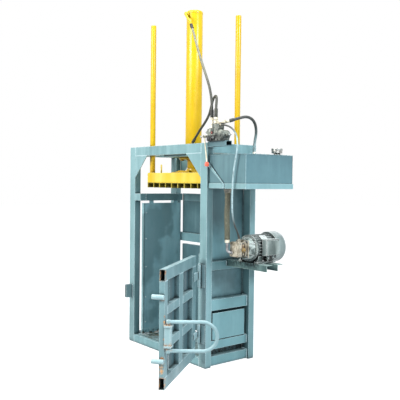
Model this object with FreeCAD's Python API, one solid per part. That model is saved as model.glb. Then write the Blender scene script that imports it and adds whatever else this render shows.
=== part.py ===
import FreeCAD, Part
import math
import os

# Vertical recycling baler, open at the front.  Millimetres, +Z up.
# Origin: centre of the four-post frame, on the floor.  -Y is the door side.

# ---------------------------------------------------------------- sizes
frame_w = 1123.0            # over the posts, X
frame_d = 530.0             # over the posts, Y
frame_h = 1800.0            # floor to top of frame
post_x, post_y, post_wall = 82.0, 60.0, 5.0
top_beam_h = 80.0
gusset_w, gusset_h, gusset_t = 190.0, 196.0, 8.0
bottom_beam_h, side_base_h = 70.0, 80.0
foot_h, cap_t = 10.0, 4.0
side_beam_w, joist_w, joist_wall = 60.0, 50.0, 4.0
floor_t, slot_w = 6.0, 28.0
seat_plate_t = 17.0
hanger_t, bush_wall, bush_h = 10.0, 7.0, 60.0
press_x, press_y = 47.0, -1.0          # centre line of the cylinder
barrel_r, barrel_wall = 71.0, 9.0
barrel_top = 2976.0
rod_r = 37.5
guide_dx, guide_dy = 378.0, 173.0      # guide rods from the centre line
guide_r, guide_top = 24.0, 2895.0
run_clear = 0.08                        # radial clearance of running fits
platen_dx, platen_dy = 413.0, 203.0
platen_z0, platen_z1 = 1483.0, 1566.0
rib_z0, rib_t, rib_n = 1434.0, 11.0, 10
wall_left_x, wall_right_x = -409.0, 470.0
wall_t = 5.0
rear_y = 230.0
door_axis = (496.0, -280.0)
door_out = 14.0             # outer face behind the hinge axis
door_t = 40.0
door_s0, door_s1 = 55.0, 867.0
door_z0, door_z1 = 97.0, 907.0
door_angle = 126.8          # opened, as stored
door_rail = 80.0
tube_wall = 3.5
hinge_r, pin_r = 14.0, 7.0
latch_s, latch_out = 862.0, 24.0
latch_r, latch_half = 10.0, 21.0
keeper_x = (-530.0, -505.0)
keeper_z = (415.0, 535.0)
keeper_out, keeper_t = 70.0, 5.0
handle_r, handle_reach = 12.5, 325.0
handle_z = (364.5, 558.7)
handle_turn = 14.2          # handle past square to the door, as stored
tank_x = (566.0, 984.0)
tank_y = (-245.0, 256.0)
tank_z = (1446.0, 1704.0)
motor_x, motor_z = 780.0, 970.0
arm_z = (806.0, 858.0)
arm_t, arm_leg, arm_out = 6.0, 60.0, 1000.0
motor_r, fin_r, stator_r = 100.0, 107.0, 60.0
shaft_r = 19.0
flange_half = 68.0          # square plate the pump is bolted to
flange_y = (-84.0, -72.0)
elbow_r, elbow_bend = 11.0, 28.0
valve_y = -250.0
lever_lean = 34.0           # lower end of the hand lever, towards the tank

route_a = [(594, -250, 1995), (594, -250, 2110), (540, -230, 2235), (440, -195, 2365),
           (330, -166, 2520), (225, -139, 2705), (150, -121, 2825)]
route_b = [(642, -250, 1995), (642, -250, 2068), (622, -226, 2138), (568, -188, 2178),
           (503, -162, 2162), (462, -148, 2100), (424, -137, 2038), (362, -128, 1980),
           (266, -117, 1912), (158, -96, 1826)]
route_c = [(790, -240, 1956), (836, -192, 1976), (854, -110, 1996), (834, -18, 1966),
           (790, 48, 1890), (742, 70, 1800), (742, 70, 1734)]
route_d = [(724, -262, 1930), (812, -266, 1920), (896, -268, 1862), (924, -271, 1770),
           (898, -272, 1660), (871, -271, 1530), (867, -271, 1390), (864, -268, 1262),
           (838, -222, 1164), (800, -146, 1096), (785.5, -121.7, 1053.6)]
route_e = [(735, -200, 1408), (735, -200, 1330), (729, -202, 1225), (735, -200, 1120), (735, -200, 1045)]
hose_d = {"hose_a": 20.0, "hose_b": 20.0, "hose_c": 22.0, "hose_d": 13.0, "hose_e": 42.0}

X, Y, Z = FreeCAD.Vector(1, 0, 0), FreeCAD.Vector(0, 1, 0), FreeCAD.Vector(0, 0, 1)
V = FreeCAD.Vector
hx, hy = frame_w / 2, frame_d / 2
ix, iy = hx - post_x, hy - post_y       # inner faces of the posts
os.makedirs("parts", exist_ok=True)


# ---------------------------------------------------------------- helpers
def box(x0, x1, y0, y1, z0, z1):
    return Part.makeBox(x1 - x0, y1 - y0, z1 - z0, V(x0, y0, z0))


def cyl(r, p0, p1):
    d = V(*p1) - V(*p0)
    return Part.makeCylinder(r, d.Length, V(*p0), d)


def pipe(r, bore, p0, p1):
    d = V(*p1) - V(*p0)
    e = d.normalize() * 1.0
    return cyl(r, p0, p1).cut(cyl(bore, V(*p0) - e, V(*p1) + e))


def fuse(*shapes):
    out = shapes[0]
    if len(shapes) > 1:
        out = out.fuse(list(shapes[1:]))
    return out.removeSplitter()


def cut(shape, *tools):
    for tool in tools:
        shape = shape.cut(tool)
    return shape


def tube(axis, x0, x1, y0, y1, z0, z1, wall):
    outer = box(x0, x1, y0, y1, z0, z1)
    w, e = wall, 1.0
    if axis == "x":
        return outer.cut(box(x0 - e, x1 + e, y0 + w, y1 - w, z0 + w, z1 - w))
    if axis == "y":
        return outer.cut(box(x0 + w, x1 - w, y0 - e, y1 + e, z0 + w, z1 - w))
    return outer.cut(box(x0 + w, x1 - w, y0 + w, y1 - w, z0 - e, z1 + e))


def prism(points, direction):
    loop = [V(*p) for p in points]
    face = Part.Face(Part.makePolygon(loop + [loop[0]]))
    return face.extrude(direction)


def hexagon(across, p0, p1):
    d = V(*p1) - V(*p0)
    length = d.Length
    d.normalize()
    side = X if abs(d.dot(X)) < 0.9 else Y
    u = d.cross(side).normalize()
    w = d.cross(u).normalize()
    r = across / math.sqrt(3)
    pts = []
    for k in range(6):
        a = math.radians(60 * k)
        pts.append(V(*p0) + u * (r * math.cos(a)) + w * (r * math.sin(a)))
    face = Part.Face(Part.makePolygon(pts + [pts[0]]))
    return face.extrude(d * length)


def back_along(end, inner, length):
    """point behind a hose end, on the line of its last run"""
    d = (V(*end) - V(*inner)).normalize()
    return V(*end) + d * length


def arc(r, start, d1, d2, bend):
    """round bar bent from direction d1 to d2 about a centre at distance bend"""
    axis = d1.cross(d2).normalize()
    centre = start + axis.cross(d1) * bend
    disc = Part.Face(Part.Wire([Part.makeCircle(r, start, d1)]))
    return disc.revolve(centre, axis, math.degrees(d1.getAngle(d2)))


def rounded(x0, x1, y0, y1, z0, z1, r):
    """block with its edges along Y rounded"""
    block = box(x0, x1, y0, y1, z0, z1)
    long = [e for e in block.Edges if e.BoundBox.YLength > 0.5]
    return block.makeFillet(r, long)


nodes = {}


def put(node, *solids):
    """add solids to a node; they stay separate solids inside it"""
    nodes.setdefault(node, []).extend(solids)


def hose(name, points):
    """tube along straight runs joined by tangent arcs"""
    r = hose_d[name] / 2
    at = V(*points[0])
    pieces, length, tightest = [], 0.0, 1e9
    for a, p, b in zip(points, points[1:], points[2:]):
        a, p, b = V(*a), V(*p), V(*b)
        d1, d2 = (p - a), (b - p)
        back = 0.45 * min(d1.Length, d2.Length)
        d1.normalize()
        d2.normalize()
        turn = d1.getAngle(d2)
        bend = back / math.tan(turn / 2)
        tightest = min(tightest, bend)
        s, e = p - d1 * back, p + d2 * back
        pieces.append(cyl(r, at, s))
        pieces.append(arc(r, s, d1, d2, bend))
        length += (s - at).Length + bend * turn
        at = e
    pieces.append(cyl(r, at, V(*points[-1])))
    length += (V(*points[-1]) - at).Length
    solid = pieces[0].fuse(pieces[1:])
    ratio = solid.Volume / (math.pi * r * r * length)
    print("%s length %.0f tightest radius %.0f (%.1f d) volume ratio %.4f, solids %d"
          % (name, length, tightest, tightest / (2 * r), ratio, len(solid.Solids)))
    put(name, solid.Solids[0])


# ---------------------------------------------------------------- frame
def post(sx, sy):
    x0, x1 = sorted((sx * ix, sx * hx))
    y0, y1 = sorted((sy * iy, sy * hy))
    body = tube("z", x0, x1, y0, y1, foot_h, frame_h - cap_t, post_wall)
    foot = box(x0, x1, y0, y1, 0, foot_h)
    foot = foot.makeFillet(7, [e for e in foot.Edges if abs(e.BoundBox.ZLength - foot_h) < 0.1])
    cap = box(x0, x1, y0, y1, frame_h - cap_t, frame_h)
    return fuse(body, foot, cap)


for label, sx, sy in (("front_left", -1, -1), ("front_right", 1, -1),
                      ("rear_left", -1, 1), ("rear_right", 1, 1)):
    put("posts_" + label.split("_")[0], post(sx, sy))

top0 = frame_h - top_beam_h
put("top_beams", tube("x", -ix, ix, -hy, -iy, top0, frame_h, post_wall))
put("top_beams", tube("x", -ix, ix, iy, hy, top0, frame_h, post_wall))
for x0, x1 in ((-hx, -hx + side_beam_w), (hx - side_beam_w, hx)):
    put("top_beams", tube("y", x0, x1, -iy, iy, top0, frame_h, post_wall))


def gusset(sx, y0):
    pts = [(sx * ix, y0, top0), (sx * (ix - gusset_w), y0, top0), (sx * ix, y0, top0 - gusset_h)]
    return prism(pts, V(0, gusset_t, 0))


put("gussets", gusset(-1, -hy))
put("gussets", gusset(1, -hy))
put("gussets", gusset(-1, hy - gusset_t))
put("gussets", gusset(1, hy - gusset_t))

put("base_beams", tube("x", -ix, ix, -hy, -iy, 0, bottom_beam_h, post_wall))
put("base_beams", tube("x", -ix, ix, iy, hy, 0, bottom_beam_h, post_wall))
for x0 in (-541, 481):
    put("base_beams", tube("y", x0, x0 + side_beam_w, -iy, iy, 5, side_base_h, post_wall))
for x in (-240, 0, 240):
    put("base_beams", tube("y", x - joist_w / 2, x + joist_w / 2, -iy, iy, 0, bottom_beam_h, joist_wall))

floor_plate = box(-ix + 4, wall_right_x + wall_t, -228, 229, bottom_beam_h, bottom_beam_h + floor_t)
slots = [box(x - slot_w / 2, x + slot_w / 2, -190, 190, 60, 90) for x in (-360, -120, 120, 360)]
put("floor_plate", cut(floor_plate, *slots))

# cylinder seat
beside = barrel_r + 8                   # clear space from the centre line to a press beam
cross_a = (press_x - beside - side_beam_w, press_x - beside)
cross_b = (press_x + beside, press_x + beside + side_beam_w)
for x0, x1 in (cross_a, cross_b):
    put("top_beams", tube("y", x0, x1, -iy, iy, top0, frame_h, post_wall))
seat = box(cross_a[0] - 20, cross_b[1] + 20, -iy, iy, top0 - seat_plate_t, top0)
seat = seat.cut(cyl(barrel_r + 2, (press_x, press_y, top0 - 30), (press_x, press_y, top0 + 10)))
put("press_seat_plate", seat)


def guide_hanger(sx):
    gx, gy = press_x + sx * guide_dx, press_y + sx * guide_dy
    y_beam = sx * iy
    y0, y1 = sorted((y_beam, gy - sx * 42))
    z0, z1 = top0 + 1, top0 + 1 + hanger_t
    plate = box(gx - 50, gx + 50, y0, y1, z0, z1)
    bush = cyl(guide_r + bush_wall, (gx, gy, z0), (gx, gy, z0 + bush_h))
    xa, xb = sorted((gx, sx * (hx - side_beam_w)))
    arm = box(xa, xb, gy - 20, gy + 20, z0, z1)
    whole = fuse(plate, bush, arm)
    return whole.cut(cyl(guide_r + run_clear, (gx, gy, top0 - 9), (gx, gy, top0 + 90)))


put("guide_bushes", guide_hanger(-1))
put("guide_bushes", guide_hanger(1))

# left side: short rail and the wall panel hung below it
put("rail_left", tube("y", -ix, -ix + 90, -hy + 3, 219, 1312, 1376, 4))
panel_z = (125.0, 1289.0)
outer_x = wall_left_x - wall_t
left_panel = box(outer_x, wall_left_x, -216, 212, *panel_z)
lips = [box(wall_left_x - 26, wall_left_x, y, y + wall_t, *panel_z) for y in (-216, 207)]
hangers = [box(outer_x, wall_left_x, y, y + 45, panel_z[1], 1312) for y in (-150, 130)]
legs = [box(outer_x, wall_left_x, y, y + 60, bottom_beam_h + floor_t, panel_z[0]) for y in (-140, 80)]
left_panel = fuse(left_panel, *lips, *hangers, *legs)
bolts = [cyl(7, (wall_left_x, -186, z), (wall_left_x + 4, -186, z)) for z in (190, 420, 700, 960, 1200)]
put("wall_left", fuse(left_panel, *bolts))

# right side
put("wall_right", box(wall_right_x, wall_right_x + wall_t, -211, iy, bottom_beam_h + floor_t, 1440))
for name, z0, z1 in (("side_beam_high", 778, 846), ("side_beam_mid", 450, 538),
                     ("side_beam_low", 136, 204)):
    put("side_beams", tube("y", wall_right_x + wall_t, 536, -iy, iy, z0, z1, 4))
stays = [box(wall_right_x + wall_t, 530, y, y + 8, 230, 410) for y in (-90, 90)]
put("side_panel_low", fuse(box(530, 538, -172, 178, 212, 428), *stays))
put("door_jamb", box(405, ix, -217, -211, bottom_beam_h + floor_t, 905))

# rear wall and its beams
put("rear_beams", tube("x", -402, ix, rear_y, hy, 1310, 1377, 4))
put("rear_panel", box(-402, ix, rear_y, rear_y + wall_t, 1005, 1310))
put("rear_beams", tube("x", -ix, ix, 215, 255, 925, 1005, 4))

# keeper for the door handle
kx0, kx1 = keeper_x
keeper = box(kx0, kx1, -hy - keeper_out, -hy, *keeper_z)
put("keepers", keeper.cut(box(kx0 + keeper_t, kx1 - keeper_t, -hy - keeper_out - 1, -hy - keeper_t,
                              keeper_z[0] - 1, keeper_z[1] + 1)))


# ---------------------------------------------------------------- swinging door
# Built shut (along -X from the hinge axis), then turned to the stored angle.
ax, ay = door_axis


def opened(shape):
    out = shape.copy()
    out.rotate(V(ax, ay, 0), Z, door_angle)
    return out


def dbox(s0, s1, t0, t1, z0, z1):
    """box in door sizes: s from the axis, t inwards from the axis"""
    return box(ax - s1, ax - s0, ay + t0, ay + t1, z0, z1)


def dtube_s(s0, s1, z0, z1, t0, t1):
    w = tube_wall
    return dbox(s0, s1, t0, t1, z0, z1).cut(dbox(s0 - 1, s1 + 1, t0 + w, t1 - w, z0 + w, z1 - w))


def dtube_z(s0, s1, z0, z1, t0, t1):
    w = tube_wall
    return dbox(s0, s1, t0, t1, z0, z1).cut(dbox(s0 + w, s1 - w, t0 + w, t1 - w, z0 - 1, z1 + 1))


t0, t1 = door_out, door_out + door_t
zb, zt = door_z0 + door_rail, door_z1 - door_rail
put("door_rails", opened(dtube_s(door_s0, door_s1, zt, door_z1, t0, t1)))
put("door_rails", opened(dtube_s(door_s0, door_s1, door_z0, zb, t0, t1)))
uprights = {"free": (door_s1 - 65, door_s1), "middle": (425, 520), "hinge": (door_s0, door_s0 + 100)}
for key, (s0, s1) in uprights.items():
    put("door_uprights", opened(dtube_z(s0, s1, zb, zt, t0, t1)))
bays = ((uprights["middle"][1], uprights["free"][0]), (uprights["hinge"][1], uprights["middle"][0]))
rail_zs = ((357, 417), (595, 655))
strip_t = 6.0
for a, b in bays:
    for z0, z1 in rail_zs:
        put("door_bars", opened(dtube_s(a, b, z0, z1, t0, t1 - strip_t)))
    m = (a + b) / 2
    for s0, s1 in ((a, m - 11), (m + 11, b)):
        put("door_strips", opened(dbox(s0, s1, t1 - strip_t, t1, zb, zt)))
for z in (293, 724):
    peg = cyl(16.5, (ax - door_s1 - 16.5, ay + t0 + 2, z), (ax - door_s1 - 16.5, ay + t1 + 44, z))
    pad = box(ax - door_s1 - 16.5, ax - door_s1, ay + t0 + 2, ay + t1 - 4, z - 5, z + 5)
    put("door_pegs", opened(fuse(peg, pad)))


def hinge_set(z0, z1):
    third = (z1 - z0) / 3
    bore = cyl(pin_r + run_clear, (ax, ay, z0 - 5), (ax, ay, z1 + 5))
    ring = [cyl(hinge_r, (ax, ay, z0 + k * third), (ax, ay, z0 + (k + 1) * third - 0.6)) for k in range(3)]
    inner = ax + hinge_r + 1
    leaf_f = box(inner, ax + 58, -hy - 6, -hy, z0, z1 - 0.6)
    ears = [box(ax, inner, -hy - 6, -hy - 0.4, z0 + k * third, z0 + (k + 1) * third - 0.6) for k in (0, 2)]
    fixed = cut(fuse(ring[0], ring[2], leaf_f, *ears), bore)
    zc = z0 + third
    leaf_m = dbox(0, door_s0 + 70, t0 - 6, t0, zc, zc + third - 0.6)
    moving = cut(fuse(ring[1], leaf_m), bore)
    pin = fuse(cyl(pin_r, (ax, ay, z0 - 4), (ax, ay, z1 + 3)),
               cyl(pin_r + 3, (ax, ay, z1 - 0.6), (ax, ay, z1 + 5)))
    return fixed, opened(moving), pin


up_f, up_m, up_p = hinge_set(649, 832)
lo_f, lo_m, lo_p = hinge_set(197, 345)
put("hinges_fixed", up_f, lo_f)
put("door_hinge_leaves", up_m, lo_m)
put("hinge_pins", up_p, lo_p)

# handle on the free edge of the door
lx, ly = ax - latch_s, ay + t0 - latch_out
z_lo, z_hi = 387.0, 538.0
lug_bore = cyl(latch_r + run_clear, (lx, ly, z_lo - 20), (lx, ly, z_hi + 20))


def lug(z0, z1):
    plate = box(lx - 24, lx + 30, ly - 22, ay + t0, z0, z1)
    return plate.cut(lug_bore)


sleeve = box(lx - latch_half, lx + latch_half, ly - latch_half, ly + latch_half, z_lo + 16, z_hi - 16)
put("latch_bearing", opened(fuse(lug(z_lo, z_lo + 16), lug(z_hi - 16, z_hi), sleeve.cut(lug_bore))))


def handle():
    r = (handle_z[1] - handle_z[0]) / 2
    zc = (handle_z[1] + handle_z[0]) / 2
    reach = handle_reach - r
    legs = [cyl(handle_r, (lx, ly - 6, z), (lx, ly - reach, z)) for z in handle_z]
    ring = Part.makeTorus(r, handle_r, V(lx, ly - reach, zc), X)
    half = ring.common(box(lx - 60, lx + 60, ly - reach - 200, ly - reach, zc - 200, zc + 200))
    rod = cyl(latch_r, (lx, ly, handle_z[0] - 10), (lx, ly, handle_z[1] + 10))
    eyes = [cyl(15, (lx, ly, z - 13), (lx, ly, z + 13)) for z in handle_z]
    out = fuse(legs[0], legs[1], half, rod, *eyes)
    out.rotate(V(lx, ly, 0), Z, handle_turn)
    return opened(out)


put("latch_handle", handle())

# ---------------------------------------------------------------- rear door
rx, ry = ix + 4.0, hy + 15.0
rd_x0, rd_x1 = -402.0, 470.0
rd_z0, rd_z1 = 93.0, 895.0
rd_y0, rd_y1 = rear_y + wall_t, hy
put("rear_door_sheet", box(rd_x0, rd_x1, rear_y, rd_y0, rd_z0, rd_z1))
frame_bars = [tube("x", rd_x0, rd_x1, rd_y0, rd_y1, z, z + 50, 3) for z in (rd_z0, 340, 600, rd_z1 - 50)]
put("rear_door_frame", *frame_bars)
stiles = []
for x0 in (rd_x0, 10, rd_x1 - 50):
    for za, zb2 in ((rd_z0 + 50, 340), (390, 600), (650, rd_z1 - 50)):
        stiles.append(tube("z", x0, x0 + 50, rd_y0, rd_y1, za, zb2, 3))
put("rear_door_frame", *stiles)


def rear_hinge(z0, z1):
    third = (z1 - z0) / 3
    bore = cyl(pin_r + run_clear, (rx, ry, z0 - 5), (rx, ry, z1 + 5))
    ring = [cyl(hinge_r, (rx, ry, z0 + k * third), (rx, ry, z0 + (k + 1) * third - 0.6)) for k in range(3)]
    inner = rx + hinge_r + 1
    leaf = box(inner, rx + 60, hy, hy + 6, z0, z1 - 0.6)
    ears = [box(rx, inner, hy + 0.4, hy + 6, z0 + k * third, z0 + (k + 1) * third - 0.6) for k in (0, 2)]
    fixed = cut(fuse(ring[0], ring[2], leaf, *ears), bore)
    zc = z0 + third
    moving = cut(fuse(ring[1], box(rx - 70, rx, hy, hy + 6, zc, zc + third - 0.6)), bore)
    pin = fuse(cyl(pin_r, (rx, ry, z0 - 4), (rx, ry, z1 + 3)),
               cyl(pin_r + 3, (rx, ry, z1 - 0.6), (rx, ry, z1 + 5)))
    return fixed, moving, pin


ru, rl = rear_hinge(680, 830), rear_hinge(170, 320)
put("hinges_fixed", ru[0], rl[0])
put("rear_door_frame", ru[1], rl[1])
put("hinge_pins", ru[2], rl[2])
bar_z = 500.0
pivot = (-350.0, bar_z)
boss = fuse(cyl(14, (pivot[0], hy, bar_z), (pivot[0], hy + 12, bar_z)),
            cyl(8, (pivot[0], hy, bar_z), (pivot[0], hy + 24, bar_z)),
            cyl(13, (pivot[0], hy + 20.4, bar_z), (pivot[0], hy + 26, bar_z)))
put("rear_door_frame", fuse(boss, box(rd_x0 + 50, pivot[0] + 40, hy - 6, hy, 390, 600)))
bar = fuse(box(-520, pivot[0] + 150, hy + 12.2, hy + 20.2, bar_z - 18, bar_z + 18),
           cyl(9, (pivot[0] + 130, hy + 20.2, bar_z), (pivot[0] + 130, hy + 60, bar_z)))
bar = bar.cut(cyl(8 + run_clear, (pivot[0], hy, bar_z), (pivot[0], hy + 40, bar_z)))
bar.rotate(V(pivot[0], hy, bar_z), Y, 90)
put("rear_latch_bar", bar)
hook = fuse(box(-535, -500, hy, hy + 12, bar_z - 60, bar_z - 19),
            box(-535, -500, hy + 12, hy + 36, bar_z - 40, bar_z - 19),
            box(-535, -500, hy + 24, hy + 36, bar_z - 40, bar_z + 8))
put("keepers", hook)

# ---------------------------------------------------------------- press
pc = (press_x, press_y)
barrel = pipe(barrel_r, barrel_r - barrel_wall, (*pc, 1703), (*pc, barrel_top - 16))
head = cyl(barrel_r, (*pc, barrel_top - 16), (*pc, barrel_top))
head = head.makeChamfer(9, [e for e in head.Edges if e.BoundBox.ZMin > barrel_top - 1])
put("barrel", fuse(barrel, head))
gland = fuse(cyl(127, (*pc, 1685), (*pc, 1703)), cyl(52, (*pc, 1606), (*pc, 1685)),
             cyl(barrel_r - barrel_wall, (*pc, 1703), (*pc, 1760)))
put("gland_flange", gland.cut(cyl(rod_r + run_clear, (*pc, 1600), (*pc, 1770))))
nuts = []
for k in range(8):
    a = math.radians(45 * k + 22.5)
    bx, by = press_x + 107 * math.cos(a), press_y + 107 * math.sin(a)
    nuts.append(hexagon(19, (bx, by, 1674), (bx, by, 1685)))
put("gland_flange", *nuts)
elbow = (press_x, press_y - barrel_r - 34, 2940)
hose_top = V(*route_a[-1])
along = (hose_top - V(*route_a[-2])).normalize()
top_port = fuse(cyl(19, (press_x, press_y - barrel_r + 3, elbow[2]), (press_x, elbow[1] + 12, elbow[2])),
                cyl(15, elbow, (elbow[0], elbow[1] + 20, elbow[2])),
                cyl(10, elbow, hose_top), cyl(14, hose_top, hose_top + along * 52))
barrel_room = cyl(barrel_r, (*pc, 1700), (*pc, 2990))
put("cylinder_ports", top_port.cut(barrel_room))
low_at = (press_x + 84, press_y - 66, 1826)
low_bend = back_along(route_b[-1], route_b[-2], 24)
low_port = fuse(cyl(15, (press_x + 40, press_y - 31.4, 1826), low_at),
                cyl(13, low_at, low_bend), cyl(11, low_bend, route_b[-1]))
put("cylinder_ports", low_port.cut(barrel_room))

rod = fuse(cyl(rod_r, (*pc, 1586), (*pc, 2880)),
           cyl(barrel_r - barrel_wall - 0.09, (*pc, 2840), (*pc, 2880)))
put("piston_rod", rod)


def guide_rod(sx):
    gx, gy = press_x + sx * guide_dx, press_y + sx * guide_dy
    body = cyl(guide_r, (gx, gy, platen_z1), (gx, gy, guide_top))
    return body.makeChamfer(4, [e for e in body.Edges if e.BoundBox.ZMin > guide_top - 1])


put("guide_rods", guide_rod(-1), guide_rod(1))

px0, px1 = press_x - platen_dx, press_x + platen_dx
py0, py1 = press_y - platen_dy, press_y + platen_dy
hollow = box(px0 + 10, px1 - 10, py0 + 10, py1 - 10, platen_z0 - 1, platen_z1 - 10)
stud = cyl(7, (press_x - 247, press_y - 168, platen_z1), (press_x - 247, press_y - 168, 1640))
put("platen_body", box(px0, px1, py0, py1, platen_z0, platen_z1).cut(hollow), stud)
pitch = (2 * platen_dx - rib_t) / (rib_n - 1)
ribs = [box(px0 + k * pitch, px0 + k * pitch + rib_t, py0, py1, rib_z0, platen_z0 - 8) for k in range(rib_n)]
put("platen_ribs", fuse(box(px0, px1, py0, py1, platen_z0 - 8, platen_z0), *ribs))
saddle = box(press_x - 75, press_x + 75, press_y - 110, press_y + 110, platen_z1, platen_z1 + 20)
saddle = saddle.cut(cyl(26, (press_x - 30, press_y - 82, platen_z1 - 1), (press_x - 30, press_y - 82, 1600)))
socket = pipe(58, rod_r, (*pc, platen_z1 + 20), (*pc, 1604))


def web(side, y0):
    """sloping rib beside the rod socket"""
    near, far = press_x + side * 75, press_x + side * 250
    pts = [(near, y0, platen_z1), (far, y0, platen_z1), (near, y0, platen_z1 + 20)]
    return prism(pts, V(0, web_t, 0))


web_t = 12.0
webs = [web(side, press_y + dy) for side in (-1, 1) for dy in (-84, 72)]
put("platen_saddle", fuse(saddle, socket, *webs))

# ---------------------------------------------------------------- tank and its shelf
tx0, tx1 = tank_x
ty0, ty1 = tank_y
tz0, tz1 = tank_z
shell = box(tx0, tx1, ty0, ty1, tz0, tz1 - 5)
put("tank_shell", shell.cut(box(tx0 + 4, tx1 - 4, ty0 + 4, ty1 - 4, tz0 + 4, tz1 + 5)))
lid = box(tx0 - 2, tx1 + 3, ty0 - 3, ty1 + 3, tz1 - 5, tz1)
put("tank_lid", lid)
leg, st = 41.0, 6.0                     # shelf angle: upright leg and thickness
sz0 = tz0 - st
shelf = [box(hx, tx1 + st, ty0 - st, ty0, sz0, sz0 + leg), box(hx, tx1 + st, ty1, ty1 + st, sz0, sz0 + leg),
         box(tx1, tx1 + st, ty0, ty1, sz0, sz0 + leg), box(hx, tx1 + st, ty0 - st, ty0 + 14, sz0, tz0),
         box(hx, tx1 + st, ty1 - 14, ty1 + st, sz0, tz0), box(tx1 - 34, tx1 + st, ty0, ty1, sz0, tz0)]


def brace(y0):
    pts = [(hx, y0, 1648), (hx, y0, 1612), (735, y0, 1480), (735, y0, 1446), (757, y0, 1446), (757, y0, 1470)]
    return prism(pts, V(0, st, 0))


put("tank_shelf", fuse(brace(ty0 - 2 * st), brace(ty1 + st), *shelf))
cap_x, cap_y = 925.0, 140.0
neck = fuse(cyl(26, (cap_x, cap_y, tz1), (cap_x, cap_y, tz1 + 16)),
            cyl(38, (cap_x, cap_y, tz1), (cap_x, cap_y, tz1 + 5)))
put("breather", neck, cyl(42, (cap_x, cap_y, tz1 + 16), (cap_x, cap_y, tz1 + 52)))
rx_t, ry_t = route_c[-1][:2]            # return union on the lid
put("power_fittings", fuse(hexagon(34, (rx_t, ry_t, tz1), (rx_t, ry_t, tz1 + 14)),
                           cyl(14, (rx_t, ry_t, tz1 + 14), route_c[-1])))
sx_t, sy_t, suction_z = route_e[0]      # suction union under the tank
put("power_fittings", fuse(cyl(30, (sx_t, sy_t, suction_z + 16), (sx_t, sy_t, tz0)),
                           cyl(26, route_e[0], (sx_t, sy_t, suction_z + 16))))

# ---------------------------------------------------------------- motor and pump
for y0 in (-30, 87):
    angle = fuse(box(536, arm_out, y0, y0 + arm_t, *arm_z),
                 box(536, arm_out, y0, y0 + arm_leg, arm_z[1] - arm_t, arm_z[1]))
    put("motor_arms", angle)
mx, mz = motor_x, motor_z
body = cyl(motor_r, (mx, -8, mz), (mx, 196, mz))
fins = []
for k in range(28):
    f = box(mx - 2, mx + 2, 6, 190, mz + motor_r - 4, mz + fin_r)
    f.rotate(V(mx, 0, mz), Y, 360.0 * k / 28 + 6.4)
    fins.append(f)
pad = box(mx + 70, mx + 108, 60, 150, mz - 40, mz + 55)
spigot = cyl(stator_r - 0.3, (mx, -8, mz), (mx, 4, mz))
front_bell = fuse(cyl(fin_r - 1, (mx, -20, mz), (mx, -8, mz)), spigot)
put("motor_bells", front_bell.cut(cyl(shaft_r + run_clear, (mx, -60, mz), (mx, 40, mz))))
rear_bell = cyl(motor_r, (mx, 196, mz), (mx, 208, mz))
put("motor_bells", rear_bell.cut(cyl(shaft_r + run_clear, (mx, 180, mz), (mx, 240, mz))))
shaft = fuse(cyl(shaft_r, (mx, -46, mz), (mx, 262, mz)), cyl(stator_r - 5, (mx, 20, mz), (mx, 180, mz)))
blades = []
for k in range(7):
    b = box(mx - 2, mx + 2, 222, 256, mz + 26, mz + 96)
    b.rotate(V(mx, 0, mz), Y, 360.0 * k / 7)
    blades.append(b)
fan = fuse(pipe(30, shaft_r, (mx, 222, mz), (mx, 256, mz)), *blades)
put("motor_rotor", shaft, fan)
cowl = cyl(123, (mx, 190, mz), (mx, 290, mz))
cowl = cowl.makeFillet(16, [e for e in cowl.Edges if e.BoundBox.YMin > 289])
cowl = cowl.cut(cyl(119, (mx, 180, mz), (mx, 272, mz))).cut(cyl(106, (mx, 270, mz), (mx, 286, mz)))
grille = [pipe(r + 7, r, (mx, 280, mz), (mx, 300, mz)) for r in (36, 58, 80)]
spokes = [box(mx - 8, mx + 8, 270, 300, mz - 120, mz + 120),
          box(mx - 120, mx + 120, 270, 300, mz - 8, mz + 8)]
vents = cut(grille[0].fuse(grille[1:]), *spokes)
cowl_ring = pipe(119, motor_r, (mx, 196, mz), (mx, 204, mz))
put("motor_cowl", fuse(cowl.cut(vents), cowl_ring))
feet = []
for side in (-1, 1):
    xa, xb = sorted((mx + side * 72, mx + side * 113))
    feet.append(box(xa, xb, -20, 178, arm_z[1], arm_z[1] + 12))
    xa, xb = sorted((mx + side * 66, mx + side * 96))
    for y0 in (0, 112):
        feet.append(box(xa, xb, y0, y0 + 50, arm_z[1] + 12, mz - 58))
stator_bore = cyl(stator_r, (mx, -9, mz), (mx, 197, mz))
put("motor_body", fuse(body, pad, *fins, *feet).cut(stator_bore))
glands = [cyl(11, (mx + 130, 100 + d, 901), (mx + 130, 100 + d, 920)) for d in (-28, 28)]
put("terminal_box", fuse(box(mx + 108, mx + 153, 31, 169, 920, 1045), *glands))

shaft_room = cyl(shaft_r + 3, (mx, -100, mz), (mx, 0, mz))
bell_housing = Part.makeCone(92, 74, -20 - flange_y[1], V(mx, -20, mz), -Y)
flange = rounded(mx - flange_half, mx + flange_half, *flange_y, mz - flange_half, mz + flange_half, 6)
pump_front = rounded(mx - 56, mx + 56, -100, flange_y[0], mz - 60, mz + 60, 12)
pump_mid = rounded(mx - 46, mx + 46, -132, -100, mz - 54, mz + 54, 16)
pump_rear = rounded(mx - 50, mx + 50, -166, -132, mz - 58, mz + 58, 10)
side_port = cyl(20, (mx + 40, -116, mz - 4), (mx + 54, -116, mz - 4))
corners = ((-38, -44), (38, -44), (-38, 44), (38, 44))
caps = [hexagon(14, (mx + dx, -165, mz + dz), (mx + dx, -174, mz + dz)) for dx, dz in corners]
pump = fuse(pump_front, pump_mid, pump_rear, side_port, *caps).cut(shaft_room)
put("pump_body", fuse(bell_housing, flange).cut(shaft_room), pump)
put("power_fittings", hexagon(24, (mx + 54, -116, mz - 4), (mx + 66, -116, mz - 4)))
d_tail = back_along(route_d[-1], route_d[-2], 14)
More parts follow.
